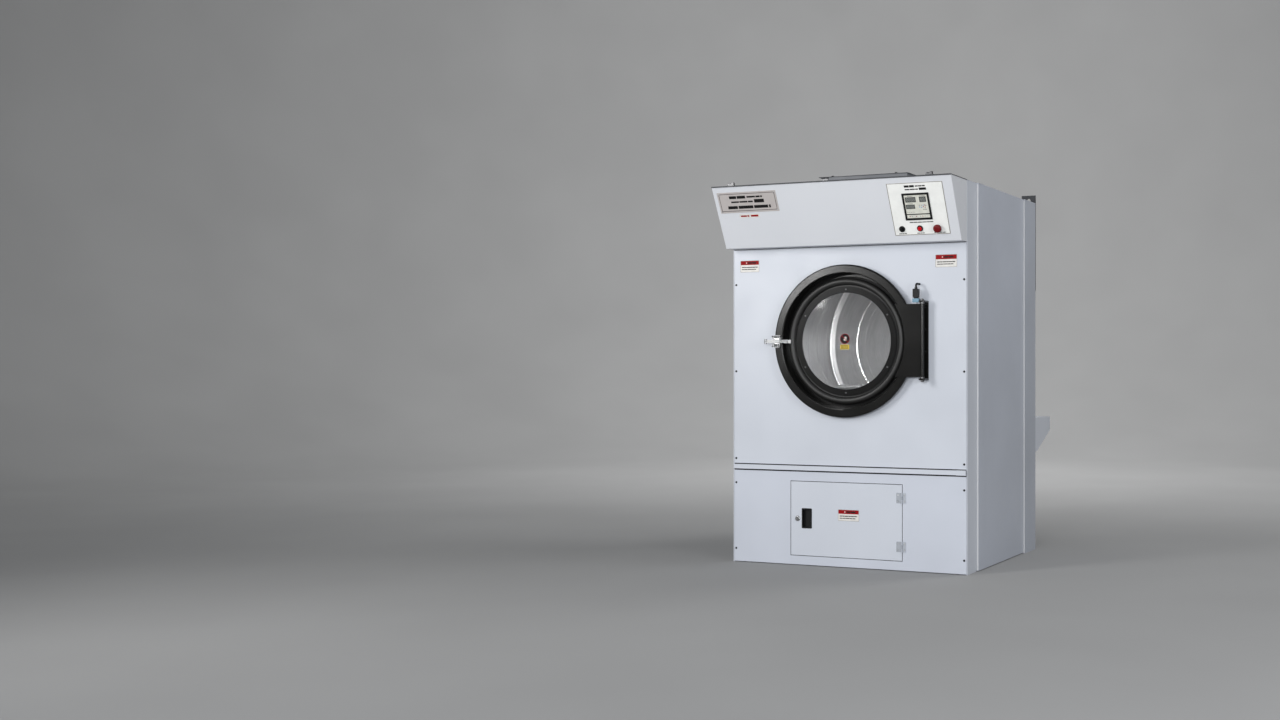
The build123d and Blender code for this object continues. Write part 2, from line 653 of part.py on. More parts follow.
def switch_plunger():
    """Plunger over the top edge of the hinge plate."""
    pin = rod(PLUNGER_RADIUS, (SWITCH_X, SWITCH_Y, AXIS_Z + HINGE_HALF + 0.5), (SWITCH_X, SWITCH_Y, 1353))
    return fillet(pin.edges().filter_by(GeomType.CIRCLE).sort_by(Axis.Z)[0], 1.5)


def switch_body():
    """Connector body over the head, with a collar where the lead enters."""
    body = block((384, 413), about(SWITCH_Y, 13), (1364, 1408))
    body = fillet(body.edges(), 2.5)
    neck = block((390, 407), about(SWITCH_Y, 8), (1360, 1366))
    collar = rod(7.5, (SWITCH_X, SWITCH_Y, 1407), (SWITCH_X, SWITCH_Y, 1416))
    body += neck + collar
    for z in (1376, 1384, 1392):
        body -= block((388, 409), (SWITCH_Y - 14, SWITCH_Y - 12.2), (z, z + 3))
    return body


def switch_lead():
    """Lead through the front sheet, up behind it in two clips and into the display module."""
    below = CONSOLE.from_local_coords(Vector(SWITCH_X, -MODULE_DOWN[1] + 0.2, -20))
    turn = below - CONSOLE_UP * ((below.Z - LEAD_HIGH) / CONSOLE_UP.Z)
    route = [(SWITCH_X, SWITCH_Y, 1416), (SWITCH_X, SWITCH_Y, LEAD_LOW), (SWITCH_X, LEAD_Y, LEAD_LOW)]
    route += [(SWITCH_X, LEAD_Y, LEAD_HIGH), tuple(turn), tuple(below)]
    path = FilletPolyline(*route, radius=list(LEAD_BENDS))
    lead = sweep(Plane(origin=route[0], z_dir=(0, 0, 1)) * Circle(LEAD_RADIUS), path)
    full = lead.volume / (path.length * pi * LEAD_RADIUS ** 2)
    print(f"lead: bends {LEAD_BENDS} mm, length {path.length:.1f} mm, volume ratio {full:.4f}")
    clips = []
    for z in (1520, 1620):
        clip = block(about(SWITCH_X, 9), (FRONT + 2, LEAD_Y + 8), about(z, 4))
        clips.append(clip - rod(LEAD_RADIUS, (SWITCH_X, LEAD_Y, z - 5), (SWITCH_X, LEAD_Y, z + 5)))
    return group([lead] + clips)


# ---------------------------------------------------------------- lint door
def lint_door():
    """Pan-shaped door with two surface hinge leaves on its right edge."""
    x, z = (LINT_LEFT, LINT_RIGHT), (LINT_LOW, LINT_HIGH)
    pan = block(x, (FRONT, FRONT + LINT_DEEP), z)
    inner_x, inner_z = (x[0] + SHEET, x[1] - SHEET), (z[0] + SHEET, z[1] - SHEET)
    pan -= block(inner_x, (FRONT + SHEET, FRONT + LINT_DEEP + 1), inner_z)
    pan -= block((PULL_X[0] + 4, PULL_X[1] - 4), (FRONT - 1, FRONT + 3), (PULL_Z[0] + 4, PULL_Z[1] - 4))
    pan -= rod(5.4, (LOCK_X, FRONT - 1, LOCK_Z), (LOCK_X, FRONT + 3, LOCK_Z))
    for low in LINT_HINGE_LOWS:
        pan += lint_leaf(low, (275, LINT_HINGE_X - 3), [(0.34, 0.66)])
    return pan


def lint_leaf(low, reach, knuckles):
    """Half of a surface hinge: a thin leaf and its knuckles round the pin, as parts of the height."""
    leaf = block(reach, (FRONT - 2, FRONT), (low, low + LINT_HINGE_TALL))
    room = block(about(LINT_HINGE_X, 5), (FRONT - 9, FRONT + 0.01), (low - 1, low + LINT_HINGE_TALL + 1))
    leaf -= room
    tail = about(LINT_HINGE_X + (3 if reach[1] > LINT_HINGE_X else -3), 3)
    for start, end in knuckles:
        z = (low + start * LINT_HINGE_TALL, low + end * LINT_HINGE_TALL)
        ends = [(LINT_HINGE_X, LINT_HINGE_Y, height) for height in z]
        barrel = rod(3.8, *ends) + block(tail, (FRONT - 2, FRONT - 0.4), z)
        leaf += barrel - rod(LINT_PIN + RUNNING, *ends)
    return leaf


def lint_hinges():
    """Fixed halves of the two lint door hinges, and their pins."""
    solids = []
    for low in LINT_HINGE_LOWS:
        solids.append(lint_leaf(low, (LINT_HINGE_X + 3, 326), [(0, 0.33), (0.67, 1)]))
        ends = [(LINT_HINGE_X, LINT_HINGE_Y, z) for z in (low - 2, low + LINT_HINGE_TALL + 2)]
        solids.append(rod(LINT_PIN, *ends))
    return group(solids)


def lint_door_pull():
    """Recessed finger pull: a rim on the door face and a cup behind it."""
    rim = block(PULL_X, (FRONT - 2, FRONT), PULL_Z)
    cup_x, cup_z = (PULL_X[0] + 4.3, PULL_X[1] - 4.3), (PULL_Z[0] + 4.3, PULL_Z[1] - 4.3)
    rim = fillet(rim.edges().filter_by(Axis.Y), 5)
    cup = block(cup_x, (FRONT - 1, FRONT + 18), cup_z)
    room_x, room_z = (cup_x[0] + 2, cup_x[1] - 2), (cup_z[0] + 2, cup_z[1] - 2)
    return rim + cup - block(room_x, (FRONT - 3, FRONT + 16), room_z)


def cam_lock():
    """Quarter-turn lock: a round head with a key slot, a shaft and a cam behind the door."""
    head = rod(LOCK_RADIUS, (LOCK_X, FRONT - 5, LOCK_Z), (LOCK_X, FRONT - 0.4, LOCK_Z))
    head = fillet(head.edges().filter_by(GeomType.CIRCLE).sort_by(Axis.Y)[0], 1.5)
    head -= block(about(LOCK_X, 1), (FRONT - 6, FRONT - 2.5), about(LOCK_Z, 4))
    shaft = rod(5, (LOCK_X, FRONT - 1, LOCK_Z), (LOCK_X, FRONT + 26, LOCK_Z))
    cam = block(about(LOCK_X, 8), (FRONT + 19, FRONT + 22), (LOCK_Z - 8, LOCK_Z + 52))
    cam = fillet(cam.edges().filter_by(Axis.Y), 5)
    return head + shaft + cam


def lint_screen():
    """Framed lint screen that stands across the airway behind the lint door."""
    y = about(SCREEN_Y, 10)
    frame = block((-305, 305), y, (RAIL_TUBE, 436)) - block((-283, 283), (y[0] - 1, y[1] + 1), (78, 414))
    mesh = block((-283, 283), (y[0] + 9, y[0] + 10.5), (78, 414))
    bars = [block(about(x, 5), (y[0] + 10.5, y[0] + 18), (78, 414)) for x in (-142, 0, 142)]
    for bar in bars:
        mesh += bar
    return frame + mesh


# ---------------------------------------------------------------- drum
def drum_shell():
    """Rolled shell, and a front disc with a collar turned forward round the mouth."""
    outer = DRUM_RADIUS + 2
    inside = DRUM_FRONT + 2.5
    shell = pipe(outer, DRUM_RADIUS, (0, inside, AXIS_Z), (0, DRUM_BACK, AXIS_Z))
    points = [(outer, inside), (DRUM_MOUTH, inside), (DRUM_MOUTH, DRUM_FRONT - 12)]
    points += [(DRUM_MOUTH + 3, DRUM_FRONT - 12), (DRUM_MOUTH + 3, DRUM_FRONT), (outer, DRUM_FRONT)]
    corners = [(DRUM_MOUTH, inside, 5), (DRUM_MOUTH + 3, DRUM_FRONT, 2), (outer, DRUM_FRONT, 2)]
    return group([shell, turned(rounded(outline(points), corners))])


def drum_back():
    """Dished back plate: a raised centre, a bead round it and a rim inside the shell."""
    y = DRUM_BACK
    centre = SHAFT_RADIUS + 0.3
    front = [(centre, y - 15), (322, y - 15), (334, y - 2), (379, y - 2), (385, y - 6), (391, y - 2)]
    front += [(524, y - 2), (DRUM_RADIUS - 2, y - 20), (DRUM_RADIUS, y - 20)]
    back = [(DRUM_RADIUS, y), (391, y), (385, y - 4), (379, y), (334, y), (322, y - 13), (centre, y - 13)]
    return turned(rounded(outline(front + back), [(524, y - 2, 18)]))


def drum_lifters():
    """Four hollow lifters along the inside of the shell."""
    lifters = []
    limit = rod(DRUM_RADIUS, (0, FRONT, AXIS_Z), (0, REAR, AXIS_Z))
    ends = (DRUM_FRONT + 14, DRUM_BACK - 22)
    for angle in LIFTER_ANGLES:
        place = Pos(0, 0, AXIS_Z) * Rot(0, -angle, 0)
        outer = outline([(560, -62), (LIFTER_TIP, -9), (LIFTER_TIP, 9), (560, 62)])
        outer = rounded(outer, [(LIFTER_TIP, -9, 7), (LIFTER_TIP, 9, 7)])
        inner = outline([(561, -59), (LIFTER_TIP + 3, -6), (LIFTER_TIP + 3, 6), (561, 59)])
        section = Plane.XZ.offset(-ends[0]) * (outer - inner)
        lifters.append(place * extrude(section, -(ends[1] - ends[0])) & limit)
    return group(lifters)


def drum_shaft():
    """Shaft, and the four-armed spider that joins it to the drum back."""
    y = DRUM_BACK
    shaft = rod(SHAFT_RADIUS, (0, y - 18, AXIS_Z), (0, PULLEY_Y[1] + 10, AXIS_Z))
    shaft = chamfer(shaft.edges().filter_by(GeomType.CIRCLE), 3)
    spider = rod(75, (0, y, 0), (0, y + 14, 0)) - rod(SHAFT_RADIUS, (0, y - 1, 0), (0, y + 15, 0))
    arm = block((60, DRUM_RADIUS - 4), (y, y + 10), about(0, 24))
    for turn in range(45, 360, 90):
        spider += Rot(0, turn, 0) * arm
    return group([shaft, Pos(0, 0, AXIS_Z) * spider])


def drum_pulley():
    """Spoked flat-belt pulley on the end of the drum shaft: a rim round a six-armed hub."""
    def disc(radius, y):
        return rod(radius, (0, y[0], 0), (0, y[1], 0))

    inner = DRUM_PULLEY - 12
    rim = disc(DRUM_PULLEY, PULLEY_Y) - disc(inner, PULLEY_Y)
    middle = (PULLEY_Y[0] + 9, PULLEY_Y[1] - 9)
    arms = block(about(0, inner + 2), middle, about(0, 19))
    for turn in (60, 120):
        arms += Rot(0, turn, 0) * block(about(0, inner + 2), middle, about(0, 19))
    hub = (arms & disc(inner, middle)) + disc(52, PULLEY_Y) - disc(SHAFT_RADIUS, PULLEY_Y)
    return Pos(0, 0, AXIS_Z) * group([rim, hub])


# ---------------------------------------------------------------- drive at the rear
def rear_beams():
    """Two channels across the rear posts that carry the drum bearing."""
    beams = []
    for low in (AXIS_Z - 130, AXIS_Z + 70):
        beam = block(about(0, STEP_2_X - SHEET), BEAM_Y, (low, low + 60))
        beams.append(beam - block((-672, 672), (BEAM_Y[0] - 1, BEAM_Y[1] - 5), (low + 5, low + 55)))
    return group(beams)


def drum_bearing():
    """Flanged bearing cartridge bolted across the two beams."""
    plate_y = (BEAM_Y[1], BEAM_Y[1] + 4)
    cartridge = block((-85, 85), plate_y, about(AXIS_Z, 120))
    cartridge += rod(58, (0, FRONT + 1040, AXIS_Z), (0, FRONT + 1115, AXIS_Z))
    cartridge -= rod(SHAFT_RADIUS + RUNNING, (0, FRONT + 1030, AXIS_Z), (0, FRONT + 1120, AXIS_Z))
    for x, z in BEARING_BOLTS:
        cartridge += rod(9, (x, plate_y[1], z), (x, plate_y[1] + 7, z))
    return cartridge


def motor_shelf():
    """Shelf behind the cabinet, between two tapered gussets."""
    top = (SHELF_TOP - 4, SHELF_TOP)
    shelf = block((-STEP_2_X + 4, STEP_2_X - 4), (REAR, SHELF_BACK), top)
    shelf += block((-STEP_2_X + 4, STEP_2_X - 4), (SHELF_BACK - 4, SHELF_BACK), (SHELF_TOP - 40, SHELF_TOP))
    profile = [(REAR, SHELF_TOP), (SHELF_BACK, SHELF_TOP), (SHELF_BACK, 658), (REAR + 30, 548), (REAR, 548)]
    gusset = prism(profile, STEP_2_X - 4, STEP_2_X, Plane.YZ)
    return group([shelf] + both_sides(gusset))


def drive_motor():
    """Geared foot motor on the shelf, with cooling fins and a terminal box."""
    y = (FRONT + 1190, FRONT + 1372)
    body = rod(72, (MOTOR_X, y[0] + 12, MOTOR_Z), (MOTOR_X, y[1] - 30, MOTOR_Z))
    body += rod(82, (MOTOR_X, y[0], MOTOR_Z), (MOTOR_X, y[0] + 14, MOTOR_Z))
    body += rod(79, (MOTOR_X, y[1] - 34, MOTOR_Z), (MOTOR_X, y[1], MOTOR_Z))
    for turn in range(0, 180, 12):
        fin = block((-79, 79), (y[0] + 30, y[1] - 40), about(0, 1.5))
        body += Pos(MOTOR_X, 0, MOTOR_Z) * Rot(0, turn, 0) * fin
    body += block(about(MOTOR_X, 95), (y[0] + 30, y[1] - 50), (SHELF_TOP, SHELF_TOP + 14))
    body += block(about(MOTOR_X, 45), (y[0] + 30, y[1] - 50), (SHELF_TOP + 10, MOTOR_Z - 50))
    body += block(about(MOTOR_X, 38), (y[0] + 50, y[1] - 60), (MOTOR_Z + 60, MOTOR_Z + 112))
    end = (MOTOR_X, FRONT + 1290, MOTOR_Z)
    return body - rod(MOTOR_SHAFT + RUNNING, (MOTOR_X, y[0] - 1, MOTOR_Z), end)


def motor_pulley():
    """Small pulley and the motor shaft that carries it."""
    pulley = rod(MOTOR_PULLEY, (MOTOR_X, PULLEY_Y[0], MOTOR_Z), (MOTOR_X, PULLEY_Y[1], MOTOR_Z))
    pulley -= pipe(62, 28, (MOTOR_X, PULLEY_Y[1] - 8, MOTOR_Z), (MOTOR_X, PULLEY_Y[1] + 1, MOTOR_Z))
    shaft_end = (MOTOR_X, FRONT + 1285, MOTOR_Z)
    return pulley + rod(MOTOR_SHAFT, (MOTOR_X, PULLEY_Y[0] - 5, MOTOR_Z), shaft_end)


def belt_outline(offset):
    """Loop round both pulleys at a distance from their rims."""
    drum = Pos(0, AXIS_Z) * Circle(DRUM_PULLEY + offset)
    motor = Pos(MOTOR_X, MOTOR_Z) * Circle(MOTOR_PULLEY + offset)
    return make_hull((drum + motor).edges())


def drive_belt():
    """Flat belt round the drum pulley and the motor pulley."""
    loop = belt_outline(7.4) - belt_outline(0.4)
    face = Plane.XZ.offset(-(PULLEY_Y[0] + 3)) * loop
    return extrude(face, -(PULLEY_Y[1] - PULLEY_Y[0] - 6))


# ---------------------------------------------------------------- air system
def fan_disc(radius, x):
    """Round bar on the fan's axis between two places across the machine."""
    return rod(radius, (x[0], BLOWER_Y, BLOWER_Z), (x[1], BLOWER_Y, BLOWER_Z))


def fan_duct(x, z):
    """Box from the middle of the fan to the back of its duct."""
    return block(x, (BLOWER_Y, DUCT_BACK), z)


def blower_housing():
    """Fan casing with a straight duct to a round spigot that passes through the rear panel."""
    inside = BLOWER_HALF - BLOWER_SHEET
    cheek_x = (inside, BLOWER_HALF)
    cheek = fan_disc(BLOWER_RADIUS, cheek_x) + fan_duct(cheek_x, DUCT_Z)
    inlet_cheek = mirror(cheek, about=Plane.YZ) - fan_disc(INLET_RADIUS, (-BLOWER_HALF - 1, -inside + 1))
    motor_cheek = cheek - fan_disc(BLOWER_SHAFT + 10, (inside - 1, BLOWER_HALF + 1))
    x = about(0, inside)
    band = fan_disc(BLOWER_RADIUS, x) - fan_disc(BLOWER_RADIUS - BLOWER_SHEET, x)
    band -= fan_duct(x, (DUCT_Z[0], DUCT_Z[1] + 1))
    inner_z = (DUCT_Z[0] + BLOWER_SHEET, DUCT_Z[1] - BLOWER_SHEET)
    floor = block(x, (BLOWER_Y + BLOWER_RADIUS - BLOWER_SHEET, DUCT_BACK), (DUCT_Z[0], inner_z[0]))
    roof = fan_duct(x, (inner_z[1], DUCT_Z[1]))
    end = block(x, (DUCT_BACK - BLOWER_SHEET, DUCT_BACK), inner_z)
    bore = SPIGOT_RADIUS - BLOWER_SHEET
    end -= rod(bore, (0, DUCT_BACK - 5, SPIGOT_Z), (0, DUCT_BACK + 1, SPIGOT_Z))
    spigot = pipe(SPIGOT_RADIUS, bore, (0, DUCT_BACK, SPIGOT_Z), (0, SPIGOT_BACK, SPIGOT_Z))
    spigot += pipe(SPIGOT_RADIUS + 2, bore, (0, DUCT_BACK, SPIGOT_Z), (0, REAR, SPIGOT_Z))
    return group([inlet_cheek, motor_cheek, band, floor, roof, end, spigot])


def blower_wheel():
    """Squirrel-cage wheel: blades between a back disc on a hub and shaft and a ring at the inlet."""
    hub = fan_disc(165, (90, 93)) + fan_disc(26, (40, 90)) + fan_disc(BLOWER_SHAFT, (60, 170))
    ring = fan_disc(165, (-93, -90)) - fan_disc(125, (-94, -89))
    blade = block((-90, 90), (127, 164), about(0, 1.2))
    middle = Pos(0, BLOWER_Y, BLOWER_Z)
    return group([hub, ring] + [middle * Rot(turn, 0, 0) * blade for turn in range(0, 360, 15)])


def blower_motor():
    """Flange motor on the side of the fan casing."""
    x = BLOWER_HALF
    motor = rod(80, (x, BLOWER_Y, BLOWER_Z), (x + 10, BLOWER_Y, BLOWER_Z))
    motor += rod(66, (x + 10, BLOWER_Y, BLOWER_Z), (x + 190, BLOWER_Y, BLOWER_Z))
    for turn in range(0, 180, 15):
        fin = block((x + 24, x + 150), (-73, 73), about(0, 1.5))
        motor += Pos(0, BLOWER_Y, BLOWER_Z) * Rot(turn, 0, 0) * fin
    return motor - rod(BLOWER_SHAFT + RUNNING, (x - 1, BLOWER_Y, BLOWER_Z), (x + 68, BLOWER_Y, BLOWER_Z))


def heater_box():
    """Four walls over the opening of the top panel, with a flange at the foot."""
    z = (HEIGHT, HEATER_TOP)
    box = block(about(0, HEATER_X), HEATER_Y, z)
    box += block(about(0, HEATER_X + 22), (HEATER_Y[0] - 22, HEATER_Y[1] + 22), (z[0], z[0] + 2))
    return box - block(about(0, HEATER_X - 2), (HEATER_Y[0] + 2, HEATER_Y[1] - 2), (z[0] - 1, z[1] + 1))


def heater_lid():
    """Cover of the heater box, longer than the box at its left end, with a clamp under that end."""
    lid = block((-281, HEATER_X + 4), (HEATER_Y[0] - 4, HEATER_Y[1] + 4), (HEATER_TOP, HEATER_TOP + 3))
    lid += block((-270, -228), (HEATER_Y[0] + 6, HEATER_Y[0] + 30), (HEATER_TOP - 26, HEATER_TOP))
    return screw_holes(lid, HEATER_SCREWS, (HEATER_TOP, HEATER_TOP + 3))


def heater_coil():
    """Row of heating rods across the heater box."""
    reach = HEATER_X - 3
    places = [HEATER_Y[0] + 75 + 80 * number for number in range(6)]
    return group(rod(8, (-reach, y, 1985), (reach, y, 1985)) for y in places)


def lifting_lugs():
    """Plates behind the rear posts, with a lifting hole above the top panel."""
    lug = block((592, STEP_2_X), (REAR, REAR + 8), (1450, 1984))
    return group(both_sides(lug - rod(EYE_HOLE, (EYE_X, REAR - 1, EYE_Z), (EYE_X, REAR + 9, EYE_Z))))


PARTS = [
    base_rails, front_posts, rear_posts, left_side_panel, right_side_panel, rear_panel, top_panel,
    front_upper_panel, front_lower_panel, front_rail, panel_screws, header_shell, header_lid,
    control_plate, display_module, button_collars, start_button, estop_button, selector_knob, nameplate,
    door_ring, door_gasket, hinge_bracket, hinge_pin, catch_bracket, catch_roller_upper,
    catch_roller_lower, door_rim, glass_ring, glass_screws, door_glass, hinge_plate, door_handle,
    switch_head, switch_plunger, switch_body, switch_lead, lint_door, lint_hinges, lint_door_pull,
    cam_lock, lint_screen, drum_shell, drum_back, drum_lifters, drum_shaft, drum_pulley, rear_beams,
    drum_bearing, motor_shelf, drive_motor, motor_pulley, drive_belt, blower_housing, blower_wheel,
    blower_motor, heater_box, heater_lid, heater_coil, lifting_lugs,
]

os.makedirs("parts", exist_ok=True)
for make in PARTS:
    export_step(make(), f"parts/{make.__name__}.step")
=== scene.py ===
import json
import random
from math import cos, pi, radians, sin

import bmesh
import bpy
from mathutils import Matrix, Vector


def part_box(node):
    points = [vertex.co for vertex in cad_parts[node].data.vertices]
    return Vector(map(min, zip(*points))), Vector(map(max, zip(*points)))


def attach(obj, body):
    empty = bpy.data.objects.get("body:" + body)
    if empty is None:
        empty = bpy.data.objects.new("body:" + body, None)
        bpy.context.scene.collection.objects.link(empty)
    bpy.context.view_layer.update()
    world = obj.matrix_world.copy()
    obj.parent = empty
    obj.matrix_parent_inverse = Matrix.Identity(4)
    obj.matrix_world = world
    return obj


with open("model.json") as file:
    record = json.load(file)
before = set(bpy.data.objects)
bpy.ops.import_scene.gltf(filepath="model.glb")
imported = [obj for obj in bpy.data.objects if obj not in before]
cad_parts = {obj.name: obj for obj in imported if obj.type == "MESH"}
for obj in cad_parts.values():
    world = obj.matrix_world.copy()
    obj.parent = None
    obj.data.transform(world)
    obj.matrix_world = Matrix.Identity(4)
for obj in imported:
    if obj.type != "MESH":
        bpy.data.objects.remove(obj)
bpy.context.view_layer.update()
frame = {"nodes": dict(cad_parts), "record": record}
nodes = frame["nodes"]
MM = 0.001


# ---------------------------------------------------------------- places on the machine
LEAN = radians(27.241)                    # the console face leans out at the top by this much
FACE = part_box("front_upper_panel")[0].y   # plane of the front sheets
GLASS_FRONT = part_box("door_glass")[0].y
DRUM_AXIS = (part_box("drum_shell")[0].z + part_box("drum_shell")[1].z) / 2
DRUM_BACK = 0.4385                        # y of the inner face of the drum's back plate
DRUM_RADIUS = 0.549                       # inside of the drum's shell

plate_low, plate_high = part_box("control_plate")
PLATE_CENTRE = (plate_low + plate_high) / 2
PLATE_HALF = ((plate_high.x - plate_low.x) / 2, 0.135)      # width, and height along the leaning face
PLATE_DOWN = 169.0                        # from the top edge down to the control plate's centre, in mm

name_low, name_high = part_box("nameplate")
NAME_CENTRE = ((name_low.x + name_high.x) / 2, (name_low.z + name_high.z) / 2)
NAME_HALF = ((name_high.x - name_low.x) / 2, 0.0555)

LINT_MIDDLE = Vector((-0.004, 0.0, 0.242))      # of the lint door's sheet
LINT_HALF = Vector((0.309, 0.0, 0.190))
LINT_GAP = Vector((0.0035, 0.0, 0.0035))        # between that sheet and the panel round it


def on_front(x, z, out=0.0):
    """Matrix of a flat place on the front sheets: local x to the right, y up, z outwards; mm."""
    spin = Matrix(((1, 0, 0), (0, 0, -1), (0, 1, 0))).to_4x4()
    return Matrix.Translation((x * MM, FACE - out * MM, z * MM)) @ spin


def on_console(x, down, out=0.0):
    """Matrix of a flat place on the console face, at a distance below its top edge."""
    up = Vector((0, -sin(LEAN), cos(LEAN)))
    outward = Vector((0, -cos(LEAN), -sin(LEAN)))
    middle = Vector((0, PLATE_CENTRE.y, PLATE_CENTRE.z)) - outward * MM
    place = middle + up * (PLATE_DOWN - down) * MM + outward * out * MM
    spin = Matrix((Vector((1, 0, 0)), up, outward)).transposed().to_4x4()
    return Matrix.Translation((x * MM, place.y, place.z)) @ spin


# ---------------------------------------------------------------- mesh helpers
def finish_piece(name, bm, place, material, body, smooth=False):
    """Turn a bmesh in millimetres into a piece that rides on a body."""
    bmesh.ops.recalc_face_normals(bm, faces=bm.faces)
    bmesh.ops.transform(bm, matrix=place @ Matrix.Scale(MM, 4), verts=bm.verts)
    mesh = bpy.data.meshes.new(name)
    bm.to_mesh(mesh)
    bm.free()
    mesh.materials.append(material)
    for polygon in mesh.polygons:
        polygon.use_smooth = smooth
    piece = bpy.data.objects.new(name, mesh)
    bpy.context.scene.collection.objects.link(piece)
    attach(piece, body)
    return piece


def rounded_outline(width, height, radius, steps=6):
    """Corner points of a rounded rectangle centred on the origin."""
    points = []
    for number, (sx, sy) in enumerate(((1, 1), (-1, 1), (-1, -1), (1, -1))):
        centre = (sx * (width / 2 - radius), sy * (height / 2 - radius))
        for step in range(steps + 1):
            angle = (number + step / steps) * pi / 2
            points.append((centre[0] + radius * cos(angle), centre[1] + radius * sin(angle)))
    return points


def add_slab(bm, points, low, high, edge=0.0):
    """Solid plate with that outline between two heights, its upper edge eased by a small step."""
    layers = [(low, 0.0), (high - edge, 0.0)]
    if edge:
        layers.append((high, edge))
    cx = sum(p[0] for p in points) / len(points)
    cy = sum(p[1] for p in points) / len(points)
    rings = []
    for height, inset in layers:
        ring = []
        for x, y in points:
            away = Vector((x - cx, y - cy))
            away = away.normalized() * inset if away.length else away
            ring.append(bm.verts.new((x - away.x, y - away.y, height)))
        rings.append(ring)
    count = len(points)
    for lower, upper in zip(rings, rings[1:]):
        for i in range(count):
            j = (i + 1) % count
            bm.faces.new((lower[i], lower[j], upper[j], upper[i]))
    bm.faces.new(rings[-1])
    bm.faces.new(rings[0][::-1])


def add_box(bm, x, y, z, size_x, size_y, size_z):
    """Box from height z up, centred on x and y."""
    points = [(x + size_x / 2, y + size_y / 2), (x - size_x / 2, y + size_y / 2)]
    points += [(x - size_x / 2, y - size_y / 2), (x + size_x / 2, y - size_y / 2)]
    add_slab(bm, points, z, z + size_z)


def moved(points, x, y):
    """The same outline somewhere else."""
    return [(a + x, b + y) for a, b in points]


def slab_piece(name, place, size, radius, thick, material, body, edge=0.1):
    """Rounded plate standing out from a place."""
    bm = bmesh.new()
    add_slab(bm, rounded_outline(size[0], size[1], radius), 0, thick, edge)
    return finish_piece(name, bm, place, material, body)


def lathe(bm, profile, steps=48):
    """Turn a profile of (radius, height) about local z; a radius of 0 closes it."""
    rings = []
    for radius, height in profile:
        if radius == 0:
            rings.append([bm.verts.new((0, 0, height))])
            continue
        angles = [2 * pi * k / steps for k in range(steps)]
        rings.append([bm.verts.new((radius * cos(a), radius * sin(a), height)) for a in angles])
    for lower, upper in zip(rings, rings[1:]):
        for i in range(steps):
            j = (i + 1) % steps
            if len(lower) == 1:
                bm.faces.new((lower[0], upper[j], upper[i]))
            elif len(upper) == 1:
                bm.faces.new((lower[i], lower[j], upper[0]))
            else:
                bm.faces.new((lower[i], lower[j], upper[j], upper[i]))


# ---------------------------------------------------------------- material helpers
class Surface:
    """A node material built round one Principled shader."""

    def __init__(self, name):
        self.material = bpy.data.materials.new(name)
        self.material.use_nodes = True
        self.tree = self.material.node_tree
        self.shader = self.tree.nodes["Principled BSDF"]
        self.place = self.tree.nodes.new("ShaderNodeTexCoord").outputs["Object"]

    def node(self, kind, *values, out=0, **options):
        """Add a node, feed its inputs in order and hand back one output."""
        made = self.tree.nodes.new(kind)
        for key, value in options.items():
            setattr(made, key, value)
        for socket, value in zip(made.inputs, values):
            self.feed(socket, value)
        return made.outputs[out]

    def feed(self, socket, value):
        """Link a socket, or set its constant; None leaves it alone."""
        if isinstance(value, bpy.types.NodeSocket):
            self.tree.links.new(value, socket)
        elif value is not None:
            socket.default_value = value

    def maths(self, operation, *values):
        """Arithmetic on one or two values."""
        return self.node("ShaderNodeMath", *values, operation=operation)

    def noise(self, scale, detail=2.0, rough=0.5, vector=None):
        """Cloudy noise between 0 and 1, in the piece's own space unless told otherwise."""
        return self.node("ShaderNodeTexNoise", vector or self.place, None, scale, detail, rough)

    def span(self, value, low, high, to_low, to_high):
        """Map one range to another, clamped at both ends."""
        return self.node("ShaderNodeMapRange", value, low, high, to_low, to_high)

    def mix(self, factor, first, second):
        """Blend of two colours."""
        made = self.tree.nodes.new("ShaderNodeMix")
        made.data_type = "RGBA"
        self.feed(made.inputs["Factor"], factor)
        colours = [socket for socket in made.inputs if socket.type == "RGBA"]
        self.feed(colours[0], first)
        self.feed(colours[1], second)
        return [socket for socket in made.outputs if socket.type == "RGBA"][0]

    def bump(self, height, distance, strength=1.0, normal=None):
        """Normal for a relief of that height in metres."""
        made = self.tree.nodes.new("ShaderNodeBump")
        self.feed(made.inputs["Strength"], strength)
        self.feed(made.inputs["Distance"], distance)
        self.feed(made.inputs["Height"], height)
        if normal is not None:
            self.feed(made.inputs["Normal"], normal)
        return made.outputs["Normal"]

    def set(self, **sockets):
        """Feed sockets of the shader by name, with underscores for spaces."""
        for key, value in sockets.items():
            self.feed(self.shader.inputs[key.replace("_", " ")], value)
        return self

    def split(self):
        """The x, y and z of a point in the piece's own space."""
        made = self.tree.nodes.new("ShaderNodeSeparateXYZ")
        self.feed(made.inputs[0], self.place)
        return made.outputs

    def join(self, x, y, z):
        """Vector made of three values."""
        return self.node("ShaderNodeCombineXYZ", x, y, z)


def rgb(red, green, blue):
    """Opaque colour."""
    return (red, green, blue, 1.0)


def scaled(colour, factor):
    """Opaque colour, each channel multiplied and kept to 1 at most."""
    return rgb(*(min(1.0, channel * factor) for channel in colour))


def paint(name, colour, roughness=0.4, spread=0.05, grain=600.0, depth=0.00004, patch=0.03, metallic=0.0):
    """Powder coat or enamel: fine orange peel, slow change of tone, slightly uneven gloss."""
    s = Surface(name)
    tone = s.span(s.noise(1.7, 3.0), 0.3, 0.7, 1.0 - patch, 1.0 + patch * 0.4)
    speck = s.span(s.noise(grain * 1.7, 1.0), 0.3, 0.7, 0.985, 1.015)
    value = s.maths("MULTIPLY", tone, speck)
    s.set(Base_Color=s.mix(s.span(value, 0.5, 1.5, 0.0, 1.0), scaled(colour, 0.5), scaled(colour, 1.5)))
    s.set(Roughness=s.span(s.noise(7.0, 4.0), 0.3, 0.7, roughness - spread, roughness + spread))
    s.set(Normal=s.bump(s.noise(grain, 2.0), depth), Metallic=metallic)
    return s


